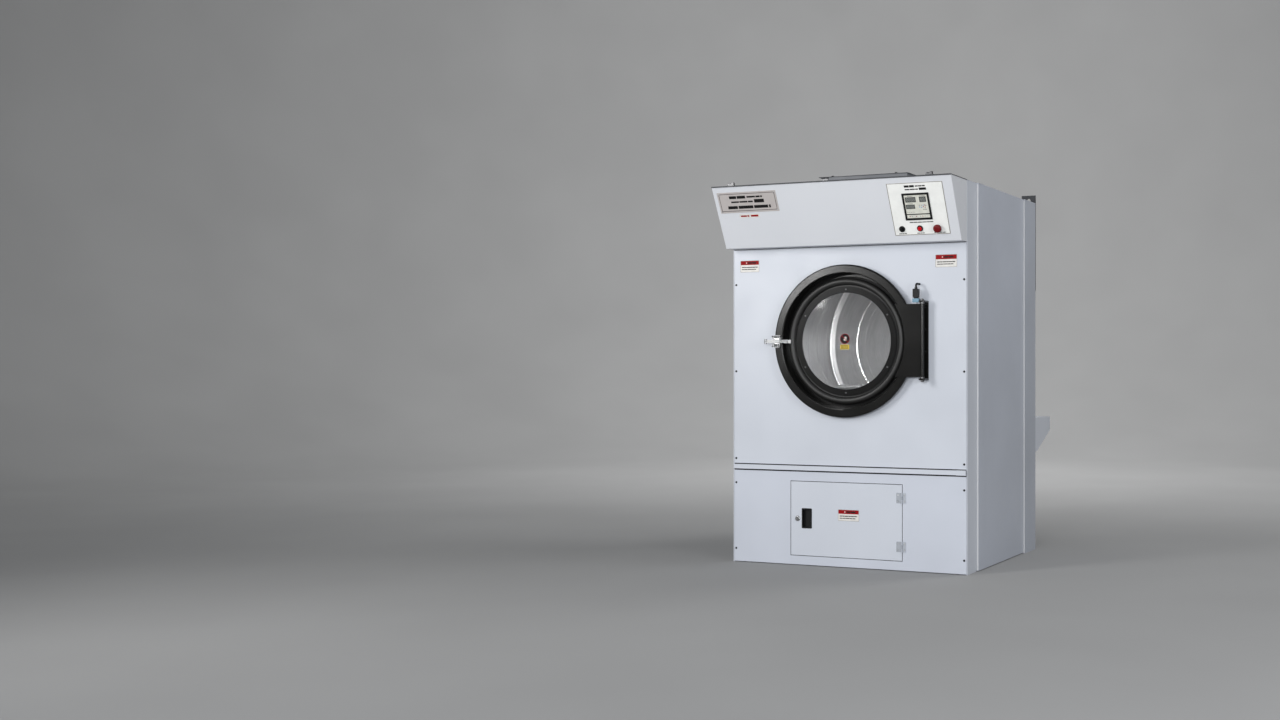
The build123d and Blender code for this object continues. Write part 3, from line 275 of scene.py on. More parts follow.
def plastic(name, colour, roughness=0.4, grain=1400.0, depth=0.00003, coat=0.0, shine=0.5):
    """Moulding, film or ink: slightly uneven tone and gloss over a fine grain."""
    s = Surface(name)
    tone = s.noise(40.0, 3.0)
    s.set(Base_Color=s.mix(s.span(tone, 0.3, 0.7, 0.0, 1.0), scaled(colour, 0.86), rgb(*colour)))
    s.set(Roughness=s.span(s.noise(90.0, 3.0), 0.3, 0.7, roughness - 0.05, roughness + 0.05))
    s.set(Normal=s.bump(s.noise(grain, 2.0), depth), Coat_Weight=coat, Specular_IOR_Level=shine)
    return s


def polished(name, colour, roughness, scratch=0.05):
    """Plated or polished metal with faint hairlines along its length."""
    s = Surface(name)
    x, y, z = s.split()
    lines = s.noise(1.0, 3.0, 0.6, s.join(s.maths("MULTIPLY", x, 60.0), s.maths("MULTIPLY", y, 900.0),
                                          s.maths("MULTIPLY", z, 900.0)))
    s.set(Base_Color=s.mix(s.span(lines, 0.35, 0.65, 0.0, 1.0), scaled(colour, 0.85), rgb(*colour)))
    s.set(Metallic=1.0)
    s.set(Roughness=s.span(lines, 0.3, 0.7, roughness - scratch, roughness + scratch))
    s.set(Normal=s.bump(s.noise(220.0, 2.0), 0.00003))
    return s


def ridge(s, value, low, high):
    """1 between two limits and 0 outside them, with soft ends."""
    return s.maths("MULTIPLY", s.span(value, low - 0.001, low + 0.001, 0.0, 1.0),
                   s.span(value, high - 0.001, high + 0.001, 1.0, 0.0))


def painted_highlight_edges(s, y, radius):
    """Painted highlight: bright rings on the edges of the pressed back plate, and a line round the shell
    beside it.
    """
    painted_highlight = ridge(s, radius, DRUM_RADIUS - 0.006, DRUM_RADIUS - 0.001)
    for low, high in ((0.322, 0.335), (0.379, 0.391)):
        painted_highlight = s.maths("MAXIMUM", ridge(s, radius, low, high), painted_highlight)
    painted_highlight = s.maths("MULTIPLY", painted_highlight, s.span(y, DRUM_BACK, DRUM_BACK + 0.001, 0.0, 1.0))
    return s.maths("MAXIMUM", painted_highlight, ridge(s, y, DRUM_BACK - 0.005, DRUM_BACK))


def hole_mask(s, y, radius, turn):
    """0 inside the punched holes, which stand in staggered rows round the shell, and 1 elsewhere."""
    pitch = 0.0115
    row_step = 0.866                        # of a pitch, in staggered rows
    around = s.maths("DIVIDE", s.maths("MULTIPLY", turn, DRUM_RADIUS), pitch)
    along = s.maths("DIVIDE", y, pitch * row_step)
    shift = s.maths("MULTIPLY", s.maths("PINGPONG", s.maths("FLOOR", along), 1.0), 0.5)
    u = s.maths("SUBTRACT", s.maths("FRACT", s.maths("ADD", around, shift)), 0.5)
    v = s.maths("MULTIPLY", s.maths("SUBTRACT", s.maths("FRACT", along), 0.5), row_step)
    reach = s.maths("SQRT", s.maths("ADD", s.maths("MULTIPLY", u, u), s.maths("MULTIPLY", v, v)))
    inside = s.span(reach, 0.22, 0.28, 1.0, 0.0)
    wall = s.span(radius, DRUM_RADIUS - 0.009, DRUM_RADIUS - 0.003, 0.0, 1.0)
    field = s.maths("MULTIPLY", wall, s.span(y, -0.440, -0.438, 0.0, 1.0))
    field = s.maths("MULTIPLY", field, s.span(y, 0.425, 0.427, 1.0, 0.0))
    return s.maths("SUBTRACT", 1.0, s.maths("MULTIPLY", field, inside))


def stainless(name, punched):
    """Rolled stainless round the drum axis, with punched holes where asked for, and a painted highlight on
    the edges of the back plate.
    """
    s = Surface(name)
    x, y, z = s.split()
    height = s.maths("SUBTRACT", z, DRUM_AXIS)
    radius = s.maths("SQRT", s.maths("ADD", s.maths("MULTIPLY", x, x), s.maths("MULTIPLY", height, height)))
    turn = s.maths("ARCTAN2", height, x)
    swirl = s.join(s.maths("MULTIPLY", radius, 230.0), s.maths("MULTIPLY", y, 230.0),
                   s.maths("MULTIPLY", turn, 2.2))
    streak = s.noise(1.0, 4.0, 0.62, swirl)
    cloud = s.noise(5.0, 4.0, 0.6)
    worn = s.maths("ADD", s.maths("MULTIPLY", streak, 0.55), s.maths("MULTIPLY", cloud, 0.45))
    colour = s.mix(s.span(worn, 0.35, 0.65, 0.0, 1.0), rgb(0.36, 0.36, 0.365), rgb(0.66, 0.66, 0.665))
    dull, bright = (0.50, 0.34) if punched else (0.46, 0.31)
    rough = s.span(worn, 0.35, 0.65, dull, bright)
    bump = s.bump(streak, 0.00012, 0.6)
    # Painted highlight on the back plate's edges and the shell beside them: lighter colour there, with a
    # little less roughness.
    painted_highlight = painted_highlight_edges(s, y, radius)
    colour = s.mix(painted_highlight, colour, rgb(0.86, 0.86, 0.865))
    rough = s.maths("SUBTRACT", rough, s.maths("MULTIPLY", painted_highlight, 0.12))
    if punched:
        solid = hole_mask(s, y, radius, turn)
        colour = s.mix(solid, rgb(0.03, 0.03, 0.032), colour)
        bump = s.bump(solid, 0.0008, 0.8, bump)
    s.set(Base_Color=colour, Roughness=rough, Normal=bump, Metallic=1.0)
    return s


def galvanised(name, colour):
    """Zinc-dipped sheet with spangle."""
    s = Surface(name)
    cells = s.tree.nodes.new("ShaderNodeTexVoronoi")
    s.feed(cells.inputs["Vector"], s.place)
    s.feed(cells.inputs["Scale"], 70.0)
    value = s.node("ShaderNodeSeparateColor", cells.outputs["Color"])
    shade = s.span(s.maths("ADD", value, s.noise(6.0, 3.0)), 0.3, 1.7, 0.0, 1.0)
    s.set(Base_Color=s.mix(shade, scaled(colour, 0.72), rgb(*colour)), Metallic=0.85)
    s.set(Roughness=s.span(value, 0.0, 1.0, 0.34, 0.52), Normal=s.bump(s.noise(180.0, 3.0), 0.00006))
    return s


def cast(name, colour):
    """Rough casting with darker grime."""
    s = Surface(name)
    grime = s.span(s.noise(9.0, 5.0, 0.65), 0.35, 0.7, 0.0, 1.0)
    s.set(Base_Color=s.mix(grime, rgb(*colour), scaled(colour, 0.45)))
    s.set(Roughness=s.span(grime, 0.0, 1.0, 0.45, 0.7), Metallic=0.35)
    s.set(Normal=s.bump(s.noise(320.0, 4.0, 0.6), 0.0003))
    return s


def woven(name, colour):
    """Wire cloth: two sets of waves at right angles, one over the other."""
    s = Surface(name)
    x, y, z = s.split()
    rate = 1400.0                           # radians per metre, a wire every 2.2 mm
    across = s.maths("ABSOLUTE", s.maths("SINE", s.maths("MULTIPLY", x, rate)))
    upward = s.maths("ABSOLUTE", s.maths("SINE", s.maths("MULTIPLY", z, rate)))
    wires = s.maths("MAXIMUM", across, upward)
    open_part = s.span(wires, 0.55, 0.8, 0.0, 1.0)
    s.set(Base_Color=s.mix(open_part, rgb(0.03, 0.03, 0.03), rgb(*colour)), Metallic=0.8, Roughness=0.4)
    s.set(Normal=s.bump(wires, 0.0006))
    return s


def clear_glass(name):
    """Thin toughened glass: mostly see-through, with a clean surface and a few smears."""
    s = Surface(name)
    smear = s.span(s.noise(5.0, 5.0, 0.7), 0.45, 0.8, 0.0, 1.0)
    s.set(Base_Color=s.mix(smear, rgb(0.90, 0.92, 0.91), rgb(0.80, 0.82, 0.81)))
    s.set(Roughness=s.span(smear, 0.0, 1.0, 0.02, 0.10), IOR=2.0, Transmission_Weight=1.0, Alpha=0.28)
    s.set(Normal=s.bump(s.noise(3.0, 1.0), 0.0002))
    return s


def framed(name, colour, line, centre, half, inset, width):
    """Satin plate with a thin printed line round it, in the plane of the console."""
    s = Surface(name)
    x, y, z = s.split()
    across = s.maths("ABSOLUTE", s.maths("SUBTRACT", x, centre[0]))
    upward = s.maths("ABSOLUTE", s.maths("DIVIDE", s.maths("SUBTRACT", z, centre[1]), cos(LEAN)))
    side = s.maths("SUBTRACT", half[0] - inset, across)
    end = s.maths("SUBTRACT", half[1] - inset, upward)
    depth = s.maths("MINIMUM", side, end)
    band = s.maths("SUBTRACT", s.span(depth, -0.0002, 0.0002, 0.0, 1.0),
                   s.span(depth, width - 0.0002, width + 0.0002, 0.0, 1.0))
    tone = s.span(s.noise(30.0, 4.0), 0.3, 0.7, 0.0, 1.0)
    base = s.mix(tone, scaled(colour, 0.93), rgb(*colour))
    s.set(Base_Color=s.mix(band, base, rgb(*line)), Normal=s.bump(s.noise(900.0, 2.0), 0.00002))
    s.set(Roughness=s.span(s.noise(60.0, 3.0), 0.3, 0.7, 0.30, 0.42))
    return s


# ---------------------------------------------------------------- materials
COAT = (0.585, 0.614, 0.69)               # pale blue-grey powder coat
PLATED = (0.50, 0.53, 0.58)               # plated hinge leaves
GAP_SHADE_BLACK = (0.006, 0.006, 0.006)


def sheet_coat(name, colour, patch=0.05, roughness=0.36, depth=0.00005):
    """Powder coat on cabinet sheet."""
    return paint(name, colour, roughness, 0.05, 520.0, depth, patch)


def satin_black(name, colour, roughness, spread, shine):
    """Dark satin paint with slow changes of tone and a dulled reflection."""
    s = paint(name, colour, roughness, spread, 700.0, 0.00004, 0.12)
    return s.set(Specular_IOR_Level=shine).material


def frame_paint(name, colour, roughness=0.5, patch=0.1):
    """Thick paint on steel that is out of the way."""
    return paint(name, colour, roughness, 0.08, 500.0, 0.00008, patch).material


WHITE_COAT = sheet_coat("pale_powder_coat", COAT).material
# Darker copies of the same powder coat on the side panels and rear posts: painted shade for faces turned
# away from the lamps.
SIDE_SHADED_COAT = sheet_coat("side_coat_painted_shade", (0.485, 0.515, 0.58), 0.08).material
REAR_SHADED_COAT = sheet_coat("rear_coat_painted_shade", (0.43, 0.458, 0.515), 0.08).material
# Lighter copy of the same powder coat for the thin strips over the front-facing returns of the side panels
# and rear posts: a painted highlight.
EDGE_HIGHLIGHT_COAT = sheet_coat("edge_highlight_coat", (0.74, 0.765, 0.82), 0.03, 0.30, 0.00002).material
# Lighter, bluer copy of the same powder coat on the console face: painted light, since that face leans
# downwards and gets less of the lamps.
CONSOLE_LIT_COAT = paint("console_coat_painted_light", (0.765, 0.832, 0.97), 0.34, 0.04, 520.0, 0.00005).material
CHARCOAL = satin_black("charcoal_satin", (0.0072, 0.0070, 0.0066), 0.21, 0.02, 0.32)
RING_BLACK = satin_black("ring_black", (0.005, 0.005, 0.005), 0.30, 0.03, 0.13)
RIM_SATIN = satin_black("rim_satin", (0.0105, 0.0102, 0.0098), 0.46, 0.03, 0.55)
FRAME_GREY = frame_paint("frame_grey", (0.060, 0.068, 0.080), 0.48)
DARK_STEEL = frame_paint("dark_steel", (0.022, 0.025, 0.031))
HEATER_COAT = frame_paint("heater_coat", (0.125, 0.132, 0.145), 0.45, 0.15)
PALE_METAL = paint("plated_leaf", PLATED, 0.34, 0.06, 600.0, 0.00004, metallic=0.35).material
MOTOR_BLUE = paint("motor_enamel", (0.035, 0.075, 0.12), 0.38, 0.08, 160.0, 0.00025, 0.15).material
BLACK_SCREW = paint("black_oxide", (0.006, 0.006, 0.007), 0.55, 0.05, 900.0, 0.00003)
BLACK_SCREW = BLACK_SCREW.set(Specular_IOR_Level=0.25).material

CHROME = polished("chrome_plate", (0.60, 0.61, 0.62), 0.22).material
SATIN_CHROME = polished("satin_chrome", (0.29, 0.295, 0.30), 0.32).material
ZINC = polished("zinc_plate", (0.56, 0.57, 0.58), 0.34, 0.08).material
DIM_STEEL = polished("dim_steel", (0.16, 0.16, 0.165), 0.40).material
DRUM_STEEL = stainless("drum_perforated", True).material
DRUM_PLAIN = stainless("drum_plain", False).material
GALVANISED = galvanised("galvanised_sheet", (0.22, 0.23, 0.25)).material
IRON = cast("cast_iron", (0.09, 0.095, 0.10)).material
WIRE = woven("wire_cloth", (0.50, 0.50, 0.51)).material
GLASS = clear_glass("door_glass_clear").material

RUBBER = plastic("moulded_rubber", (0.008, 0.008, 0.008), 0.6, 700.0, 0.00012, shine=0.3).material
BLACK = plastic("black_moulding", (0.0055, 0.0058, 0.0066), 0.45, 900.0, 0.00005, shine=0.28).material
RED = plastic("red_moulding", (0.17, 0.003, 0.005), 0.40, 900.0, 0.00003, shine=0.3).material
BRIGHT_RED = plastic("bright_red_cap", (0.60, 0.003, 0.010), 0.32, 900.0, 0.00002, shine=0.35).material
BLUE = plastic("pale_blue_moulding", (0.16, 0.30, 0.40), 0.45, 700.0, 0.00005).material
CREAM = plastic("cream_overlay", (0.74, 0.74, 0.66), 0.38, 900.0, 0.00002).material
LABEL = plastic("label_vinyl", (0.76, 0.74, 0.70), 0.42, 700.0, 0.00003).material
LABEL_RED = plastic("label_red", (0.30, 0.0015, 0.004), 0.55, 700.0, 0.00002, shine=0.15).material
LABEL_EDGE = plastic("label_edge", (0.20, 0.15, 0.13), 0.5, 700.0, 0.00002, shine=0.2).material
YELLOW = plastic("label_yellow", (0.70, 0.50, 0.02), 0.40, 700.0, 0.00002).material
INK = plastic("ink", (0.008, 0.0075, 0.008), 0.55, 900.0, 0.00001, shine=0.2).material
PALE_INK = plastic("pale_ink", (0.30, 0.29, 0.29), 0.5, 900.0, 0.00001).material
LCD = plastic("display_window", (0.085, 0.090, 0.085), 0.18, 500.0, 0.00001, 0.5).material
LCD_MARK = plastic("display_segments", (0.33, 0.35, 0.33), 0.35, 500.0, 0.00001).material
KEY_BLUE = plastic("key_blue", (0.10, 0.26, 0.52), 0.4).material

OVERLAY = framed("control_overlay", (0.92, 0.925, 0.895), (0.16, 0.13, 0.11),
                 (PLATE_CENTRE.x, PLATE_CENTRE.z), PLATE_HALF, 0.0, 0.0028).material
NAMEPLATE = framed("nameplate_metal", (0.56, 0.52, 0.505), (0.045, 0.035, 0.03),
                   NAME_CENTRE, NAME_HALF, 0.0085, 0.0026)
NAMEPLATE = NAMEPLATE.set(Metallic=0.15).material


def lint_door_finish():
    """Powder coat, with plated steel on the two hinge leaves that stand in front of the sheet, and painted
    shade on the door's edges behind the front.
    """
    s = sheet_coat("lint_door_coat", COAT, 0.03)
    y = s.split()[1]
    leaf = s.span(y, FACE - 0.0004, FACE - 0.0002, 1.0, 0.0)
    coat = s.shader.inputs["Base Color"].links[0].from_socket
    gloss = s.shader.inputs["Roughness"].links[0].from_socket
    s.set(Base_Color=s.mix(leaf, coat, rgb(*PLATED)), Metallic=s.maths("MULTIPLY", leaf, 0.35))
    s.set(Roughness=s.maths("SUBTRACT", gloss, s.maths("MULTIPLY", leaf, 0.12)))
    return gap_shade_edge(s, True)


def gap_shade_edge(s, outside):
    """Painted shade: near-black on the edges behind the front skin, outside or inside the outline of the
    lint door, for the dark in the gap between door and panel.
    """
    x, y, z = s.split()
    reach = LINT_HALF if outside else LINT_HALF + LINT_GAP
    across = s.maths("SUBTRACT", s.maths("ABSOLUTE", s.maths("SUBTRACT", x, LINT_MIDDLE.x)), reach.x)
    upward = s.maths("SUBTRACT", s.maths("ABSOLUTE", s.maths("SUBTRACT", z, LINT_MIDDLE.z)), reach.z)
    beyond = s.maths("MAXIMUM", across, upward)
    if outside:
        near = s.span(beyond, -0.0006, -0.0003, 0.0, 1.0)
    else:
        near = s.span(beyond, 0.0, 0.0003, 1.0, 0.0)
    gap_shade = s.maths("MULTIPLY", near, s.span(y, FACE + 0.0006, FACE + 0.0009, 0.0, 1.0))
    coat = s.shader.inputs["Base Color"].links[0].from_socket
    s.set(Base_Color=s.mix(gap_shade, coat, rgb(*GAP_SHADE_BLACK)))
    return s.material


def lower_panel_finish():
    """Powder coat of the panel round the lint door, with painted shade on the edges of its opening."""
    return gap_shade_edge(sheet_coat("lower_panel_coat", (0.57, 0.60, 0.675), 0.06), False)


SLOT_MATERIALS = {
    "powder_coat": WHITE_COAT, "charcoal_paint": CHARCOAL, "chrome": CHROME, "zinc_steel": ZINC,
    "stainless": DRUM_PLAIN, "galvanised": GALVANISED, "frame_steel": FRAME_GREY,
    "black_screw": BLACK_SCREW, "overlay": OVERLAY, "black_plastic": BLACK, "red_plastic": RED,
    "blue_plastic": BLUE, "label": LABEL, "nameplate_metal": NAMEPLATE, "glass": GLASS,
    "rubber": RUBBER, "cast_iron": IRON, "motor_paint": MOTOR_BLUE, "mesh": WIRE,
}
NODE_MATERIALS = {                        # parts that differ from the rest of their slot
    # The console face, side panels and rear posts take lighter and darker copies of the one powder coat:
    # painted light and painted shade.
    "drum_shell": DRUM_STEEL, "start_button": BRIGHT_RED, "header_shell": CONSOLE_LIT_COAT,
    "left_side_panel": SIDE_SHADED_COAT, "right_side_panel": SIDE_SHADED_COAT, "rear_posts": REAR_SHADED_COAT,
    "heater_box": HEATER_COAT, "catch_bracket": SATIN_CHROME, "door_handle": SATIN_CHROME,
    "header_lid": DARK_STEEL, "heater_lid": DARK_STEEL, "lifting_lugs": DARK_STEEL,
    "glass_ring": RING_BLACK, "lint_hinges": PALE_METAL, "door_rim": RIM_SATIN,
    "glass_screws": DIM_STEEL, "hinge_pin": DIM_STEEL,
    "lint_door": lint_door_finish(), "front_lower_panel": lower_panel_finish(),
}
for part in frame["record"]["subparts"]:
    name = part["node"]
    nodes[name].data.materials.clear()
    nodes[name].data.materials.append(NODE_MATERIALS.get(name, SLOT_MATERIALS[part["material_slot"]]))


# ---------------------------------------------------------------- printed trim
def bars(name, place, lines, thick, material, body):
    """Plain printed bars, each (x, y, width, height), in place of lettering."""
    bm = bmesh.new()
    for x, y, width, height in lines:
        add_box(bm, x, y, 0, width, height, thick)
    return finish_piece(name, bm, place, material, body)


def word_row(x0, x1, y, height, seed, gap=2.0):
    """A row of bars with uneven lengths between two ends."""
    pick = random.Random(seed)
    row, x = [], x0
    while x < x1 - 1:
        width = min(x1 - x, pick.uniform(2.2, 5.5) * height)
        row.append((x + width / 2, y, width, height))
        x += width + gap
    return row


def warning_label(name, x, z, width, height, body):
    """Rounded label: a red band over a white field with plain bars."""
    slab_piece(name + "_edge", on_front(x, z), (width + 2.2, height + 2.2), 3.6, 0.25, LABEL_EDGE, body)
    slab_piece(name, on_front(x, z), (width, height), 3.0, 0.35, LABEL, body)
    bm = bmesh.new()
    add_slab(bm, rounded_outline(width - 1.6, height * 0.36, 2.2), 0, 0.2)
    band_z = z + height * 0.31
    finish_piece(name + "_band", bm, on_front(x, band_z, 0.35), LABEL_RED, body)
    marks = [(-width * 0.18, 0, 5.0, 5.0)]
    bars(name + "_mark", on_front(x, band_z, 0.55), marks, 0.12, LABEL, body)
    title = word_row(-width * 0.10, width * 0.34, 0, 7.5, 3)
    bars(name + "_title", on_front(x, band_z, 0.55), title, 0.12, INK, body)
    left = -width * 0.43
    text = word_row(left, -left, 5.5, 4.4, 7, 1.3) + word_row(left, width * 0.34, -5.5, 4.0, 11, 1.3)
    bars(name + "_text", on_front(x, z - height * 0.18, 0.35), text, 0.12, INK, body)


warning_label("label_left", -554, 1548, 108, 58, "cabinet")
warning_label("label_right", 540, 1546, 111, 60, "cabinet")
warning_label("label_lint", 12, 267.5, 114, 55, "lint_door")
slab_piece("label_strip", on_console(-469.5, 165), (115, 22), 1.5, 0.3, LABEL, "cabinet")
rows = word_row(-50, -2, 0, 8, 5, 3) + word_row(8, 50, 0, 10, 6, 3)
bars("label_strip_bars", on_console(-469.5, 165, 0.3), rows, 0.1, LABEL_RED, "cabinet")

rows = word_row(-563, -470, 0, 15, 21, 3.5) + word_row(-462, -374, 0, 9, 22, 3)
bars("nameplate_row_1", on_console(0, 62, 1.55), rows, 0.15, INK, "cabinet")
rows = word_row(-556, -432, 0, 8.5, 23, 3) + word_row(-424, -368, 2, 19, 24, 4)
bars("nameplate_row_2", on_console(0, 87, 1.55), rows, 0.15, INK, "cabinet")
rows = word_row(-580, -336, 0, 16, 25, 5)
bars("nameplate_row_3", on_console(0, 116, 1.55), rows, 0.15, INK, "cabinet")

rows = word_row(400, 452, 0, 11, 31, 2) + word_row(457, 508, 0, 6, 32, 2)
bars("plate_row_1", on_console(0, 52, 2.05), rows, 0.12, INK, "cabinet")
rows = word_row(402, 470, 0, 6, 33, 2) + word_row(475, 512, 1, 12, 34, 2)
bars("plate_row_2", on_console(0, 68, 2.05), rows, 0.12, INK, "cabinet")
bars("plate_row_3", on_console(0, 238, 2.05), word_row(398, 520, 0, 4.5, 35, 1.5), 0.12, INK, "cabinet")
for number, (middle, reach) in enumerate(((352, 20), (446, 19), (546, 30))):
    row = word_row(middle - reach, middle + reach, 0, 4, 41 + number, 1.5)
    bars(f"operator_caption_{number}", on_console(0, 295, 2.05), row, 0.12, INK, "cabinet")


# ---------------------------------------------------------------- display and keypad
def seven_segments(x, y, height, digits):
    """Bars of an unlit seven-segment readout, drawn as eights."""
    width, stroke, parts = height * 0.5, height * 0.12, []
    for number in range(digits):
        left = x + number * width * 1.6
        for level in (-0.5, 0.0, 0.5):
            parts.append((left, y + level * height, width * 0.72, stroke))
        for side in (-0.5, 0.5):
            for level in (-0.25, 0.25):
                parts.append((left + side * width, y + level * height, stroke, height * 0.36))
    return parts


slab_piece("keypad_upper", on_console(450.5, 145, 4.0), (119, 96), 1.5, 0.4, CREAM, "cabinet")
slab_piece("keypad_lower", on_console(450.5, 206.5, 4.0), (119, 16.5), 1.5, 0.4, CREAM, "cabinet")
windows = ((422.5, 120, 55, 27, 4), (485.5, 120, 35, 28, 2), (417, 156, 47, 22, 4))
for number, (x, down, width, height, digits) in enumerate(windows):
    slab_piece(f"display_window_{number}", on_console(x, down, 4.4), (width, height), 0.8, 0.25, LCD,
               "cabinet", 0.05)
    tall = height * 0.55
    start = -(digits - 1) * tall * 0.4
    eights = seven_segments(start, 0, tall, digits)
    bars(f"display_digits_{number}", on_console(x, down, 4.65), eights, 0.08, LCD_MARK, "cabinet")
caption_rows = word_row(-14, 14, 0, 2, 51, 1)
for number, (x, down) in enumerate(((422.5, 102), (485.5, 102), (417, 140.5))):
    bars(f"window_caption_{number}", on_console(x, down, 4.4), caption_rows, 0.08, INK, "cabinet")


def keys(name, places, radius, material):
    """Round keys or lamps of one colour, placed from the middle of the upper keypad."""
    bm = bmesh.new()
    for x, y in places:
        points = [(x + radius * cos(2 * pi * k / 20), y + radius * sin(2 * pi * k / 20)) for k in range(20)]
        add_slab(bm, points, 0, 0.7, 0.25)
    finish_piece(name, bm, on_console(450.5, 160, 4.4), material, "cabinet")


keys("keys_grey", [(14, 10), (24, 10), (47, 8)], 2.6, PALE_INK)
keys("keys_blue", [(14, 1), (33, 10), (24, -1)], 2.6, KEY_BLUE)
keys("keys_red", [(33, 2), (41, 10), (42, -1)], 2.4, LABEL_RED)
keys("keys_dark", [(33, -12), (40, -12), (47, -12)], 2.0, INK)
keys("indicator_row", [(-52 + 9 * k, -24) for k in range(5)], 1.5, INK)
strip_keys = [(-44 + 11 * k, -46.5) for k in range(9)]
keys("strip_keys_dark", strip_keys[1::2], 2.4, PALE_INK)
keys("strip_keys_red", strip_keys[0::3], 2.4, LABEL_RED)


# ---------------------------------------------------------------- stickers on the glass
def on_glass(x, z, out=0.0):
    """Matrix of a place on the outside of the door's glass."""
    return Matrix.Translation((0, GLASS_FRONT - FACE, 0)) @ on_front(x, z, out)


def disc(name, place, outer, inner, thick, material, body):
    """Disc, or a ring when the inner radius isn't 0."""
    bm = bmesh.new()
    if inner:
        lathe(bm, [(inner, 0), (outer, 0), (outer, thick), (inner, thick), (inner, 0)], 64)
        bmesh.ops.remove_doubles(bm, verts=bm.verts, dist=0.0001)
    else:
        lathe(bm, [(0, 0), (outer, 0), (outer, thick), (0, thick)], 64)
    return finish_piece(name, bm, place, material, body)


def hand_sign(x, z):
    """Black disc with a red ring, a flat hand and a red slash across it."""
    disc("sticker_disc", on_glass(x, z), 26.5, 0, 0.25, INK, "door")
    disc("sticker_ring", on_glass(x, z, 0.25), 26.0, 23.6, 0.15, LABEL_RED, "door")
    bm = bmesh.new()
    add_slab(bm, rounded_outline(12, 12, 4), 0, 0.12)
    for finger in range(4):
        outline = rounded_outline(2.4, 12, 1.1)
        add_slab(bm, moved(outline, -4.8 + 3.2 * finger, 10 - abs(finger - 1.6) * 1.2), 0, 0.12)
    add_slab(bm, moved(rounded_outline(8, 2.6, 1.2), 7.5, 1.5), 0, 0.12)
    hand = on_glass(x, z - 3, 0.25) @ Matrix.Rotation(radians(-24), 4, "Z")
    finish_piece("sticker_hand", bm, hand, LABEL, "door")
    bm = bmesh.new()
    add_box(bm, 0, 0, 0, 46, 3.2, 0.1)
    slash = on_glass(x, z, 0.4) @ Matrix.Rotation(radians(-45), 4, "Z")
    finish_piece("sticker_slash", bm, slash, LABEL_RED, "door")


hand_sign(-7, 1164.5)
slab_piece("sticker_strip", on_glass(-8, 1123), (50, 24), 0.8, 0.25, YELLOW, "door")
rows = word_row(-21, 20, 6, 4, 61, 2) + word_row(-21, 21, -0.5, 3.4, 62, 2)
rows += word_row(-20, 20, -7, 3.2, 63, 2)
bars("sticker_strip_bars", on_glass(-8, 1123, 0.25), rows, 0.1, INK, "door")


# ---------------------------------------------------------------- small hardware
def dished_heads(name, places, radius, height, material, body):
    """Raised screw or rivet heads with a round recess, one at each place."""
    profile = [(0, 0), (radius, 0), (radius, height * 0.3), (radius * 0.75, height * 0.8)]
    profile += [(radius * 0.35, height), (radius * 0.32, height * 0.45), (0, height * 0.4)]
    for number, place in enumerate(places):
        bm = bmesh.new()
        lathe(bm, profile, 28)
        spun = place @ Matrix.Rotation(radians(40 + 37 * number), 4, "Z")
        finish_piece(f"{name}_{number}", bm, spun, material, body, True)


for body, x in (("cabinet", 319.0), ("lint_door", 284.0)):
    places = []
    for base in (96.0, 340.0):
        places += [on_front(x, base + rise, 2.0) for rise in (11.0, 41.0)]
    dished_heads(f"hinge_screw_{body}", places, 3.6, 1.3, ZINC, body)
places = [on_front(x, z, 62.2) for x in (-389, -353) for z in (1127.5, 1178.5)]
dished_heads("catch_bolt", places, 4.2, 2.4, DIM_STEEL, "cabinet")
places = [on_console(x, down, 1.5) for x in (-619, -303) for down in (43, 136)]
dished_heads("plate_rivet", places, 4.0, 1.6, ZINC, "cabinet")


def strip(name, x, z, width, height, out, thick, material=RUBBER):
    """Flat strip facing the front, from its lower edge up: black, it is painted shade in a gap or a painted
    shadow under an overhang; pale, it is a painted highlight on the return of a sheet.
    """
    bm = bmesh.new()
    add_box(bm, 0, 0, 0, width, height, thick)
    return finish_piece(name, bm, on_front(x, z + height / 2, out), material, "cabinet")


PANEL_STEP = -140.0                       # front edges of the side panels, behind the front sheets, in mm
POST_STEP = -893.0                        # front edges of the rear posts

# Black strips in the gaps above and below the rail are painted shade; the one under the console is a
# painted shadow of its overhang.
strip("shade_strip_under_rail", 0, 482.2, 1286, 7.6, -9.0, 9.6)
strip("shade_strip_over_rail", 0, 513.3, 1286, 5.0, 0.0, 0.5)
strip("shadow_strip_under_console", 0, 1634.0, 1288, 2.4, 0.0, 1.0)
# Pale strips over the returns of the side panels and rear posts: a painted highlight on those edges.
for number, side in enumerate((-1, 1)):
    strip(f"panel_return_highlight_{number}", side * 655.2, 6, 9.2, 1928, PANEL_STEP, 0.2, EDGE_HIGHLIGHT_COAT)
    strip(f"post_return_highlight_{number}", side * 666.2, 2, 7.2, 1932, POST_STEP, 0.2, EDGE_HIGHLIGHT_COAT)

disc("lock_bezel", on_front(-275, 241), 14.4, 11.8, 1.3, CHROME, "lint_door")
disc("lock_groove", on_front(-275, 241, 5.0), 9.6, 8.3, 0.15, INK, "cam_lock")
bars("lock_keyhole", on_front(-275, 241, 5.0), [(0, 0, 2.4, 11)], 0.15, INK, "cam_lock")


def standing(x, y, z):
    """Matrix of a level place: local x to the right, y to the back, z up; mm."""
    return Matrix.Translation((x * MM, y * MM, z * MM))


def lid_fastener(number, x):
    """Clip on the console's cover, held by two hexagon heads."""
    hexagon = [(8.5 * cos(pi * k / 3), 8.5 * sin(pi * k / 3)) for k in range(6)]
    bm = bmesh.new()
    add_slab(bm, rounded_outline(40, 18, 3), 0, 3.0, 0.4)
    add_slab(bm, rounded_outline(15, 11, 2), 3.0, 10.0, 0.5)
    add_slab(bm, moved(hexagon, 10, 0), 3.0, 16.0, 0.8)
    add_slab(bm, moved(hexagon, -11, 0), 3.0, 13.0, 0.8)
    finish_piece(f"lid_fastener_{number}", bm, standing(x, -772, 1941), DIM_STEEL, "cabinet")


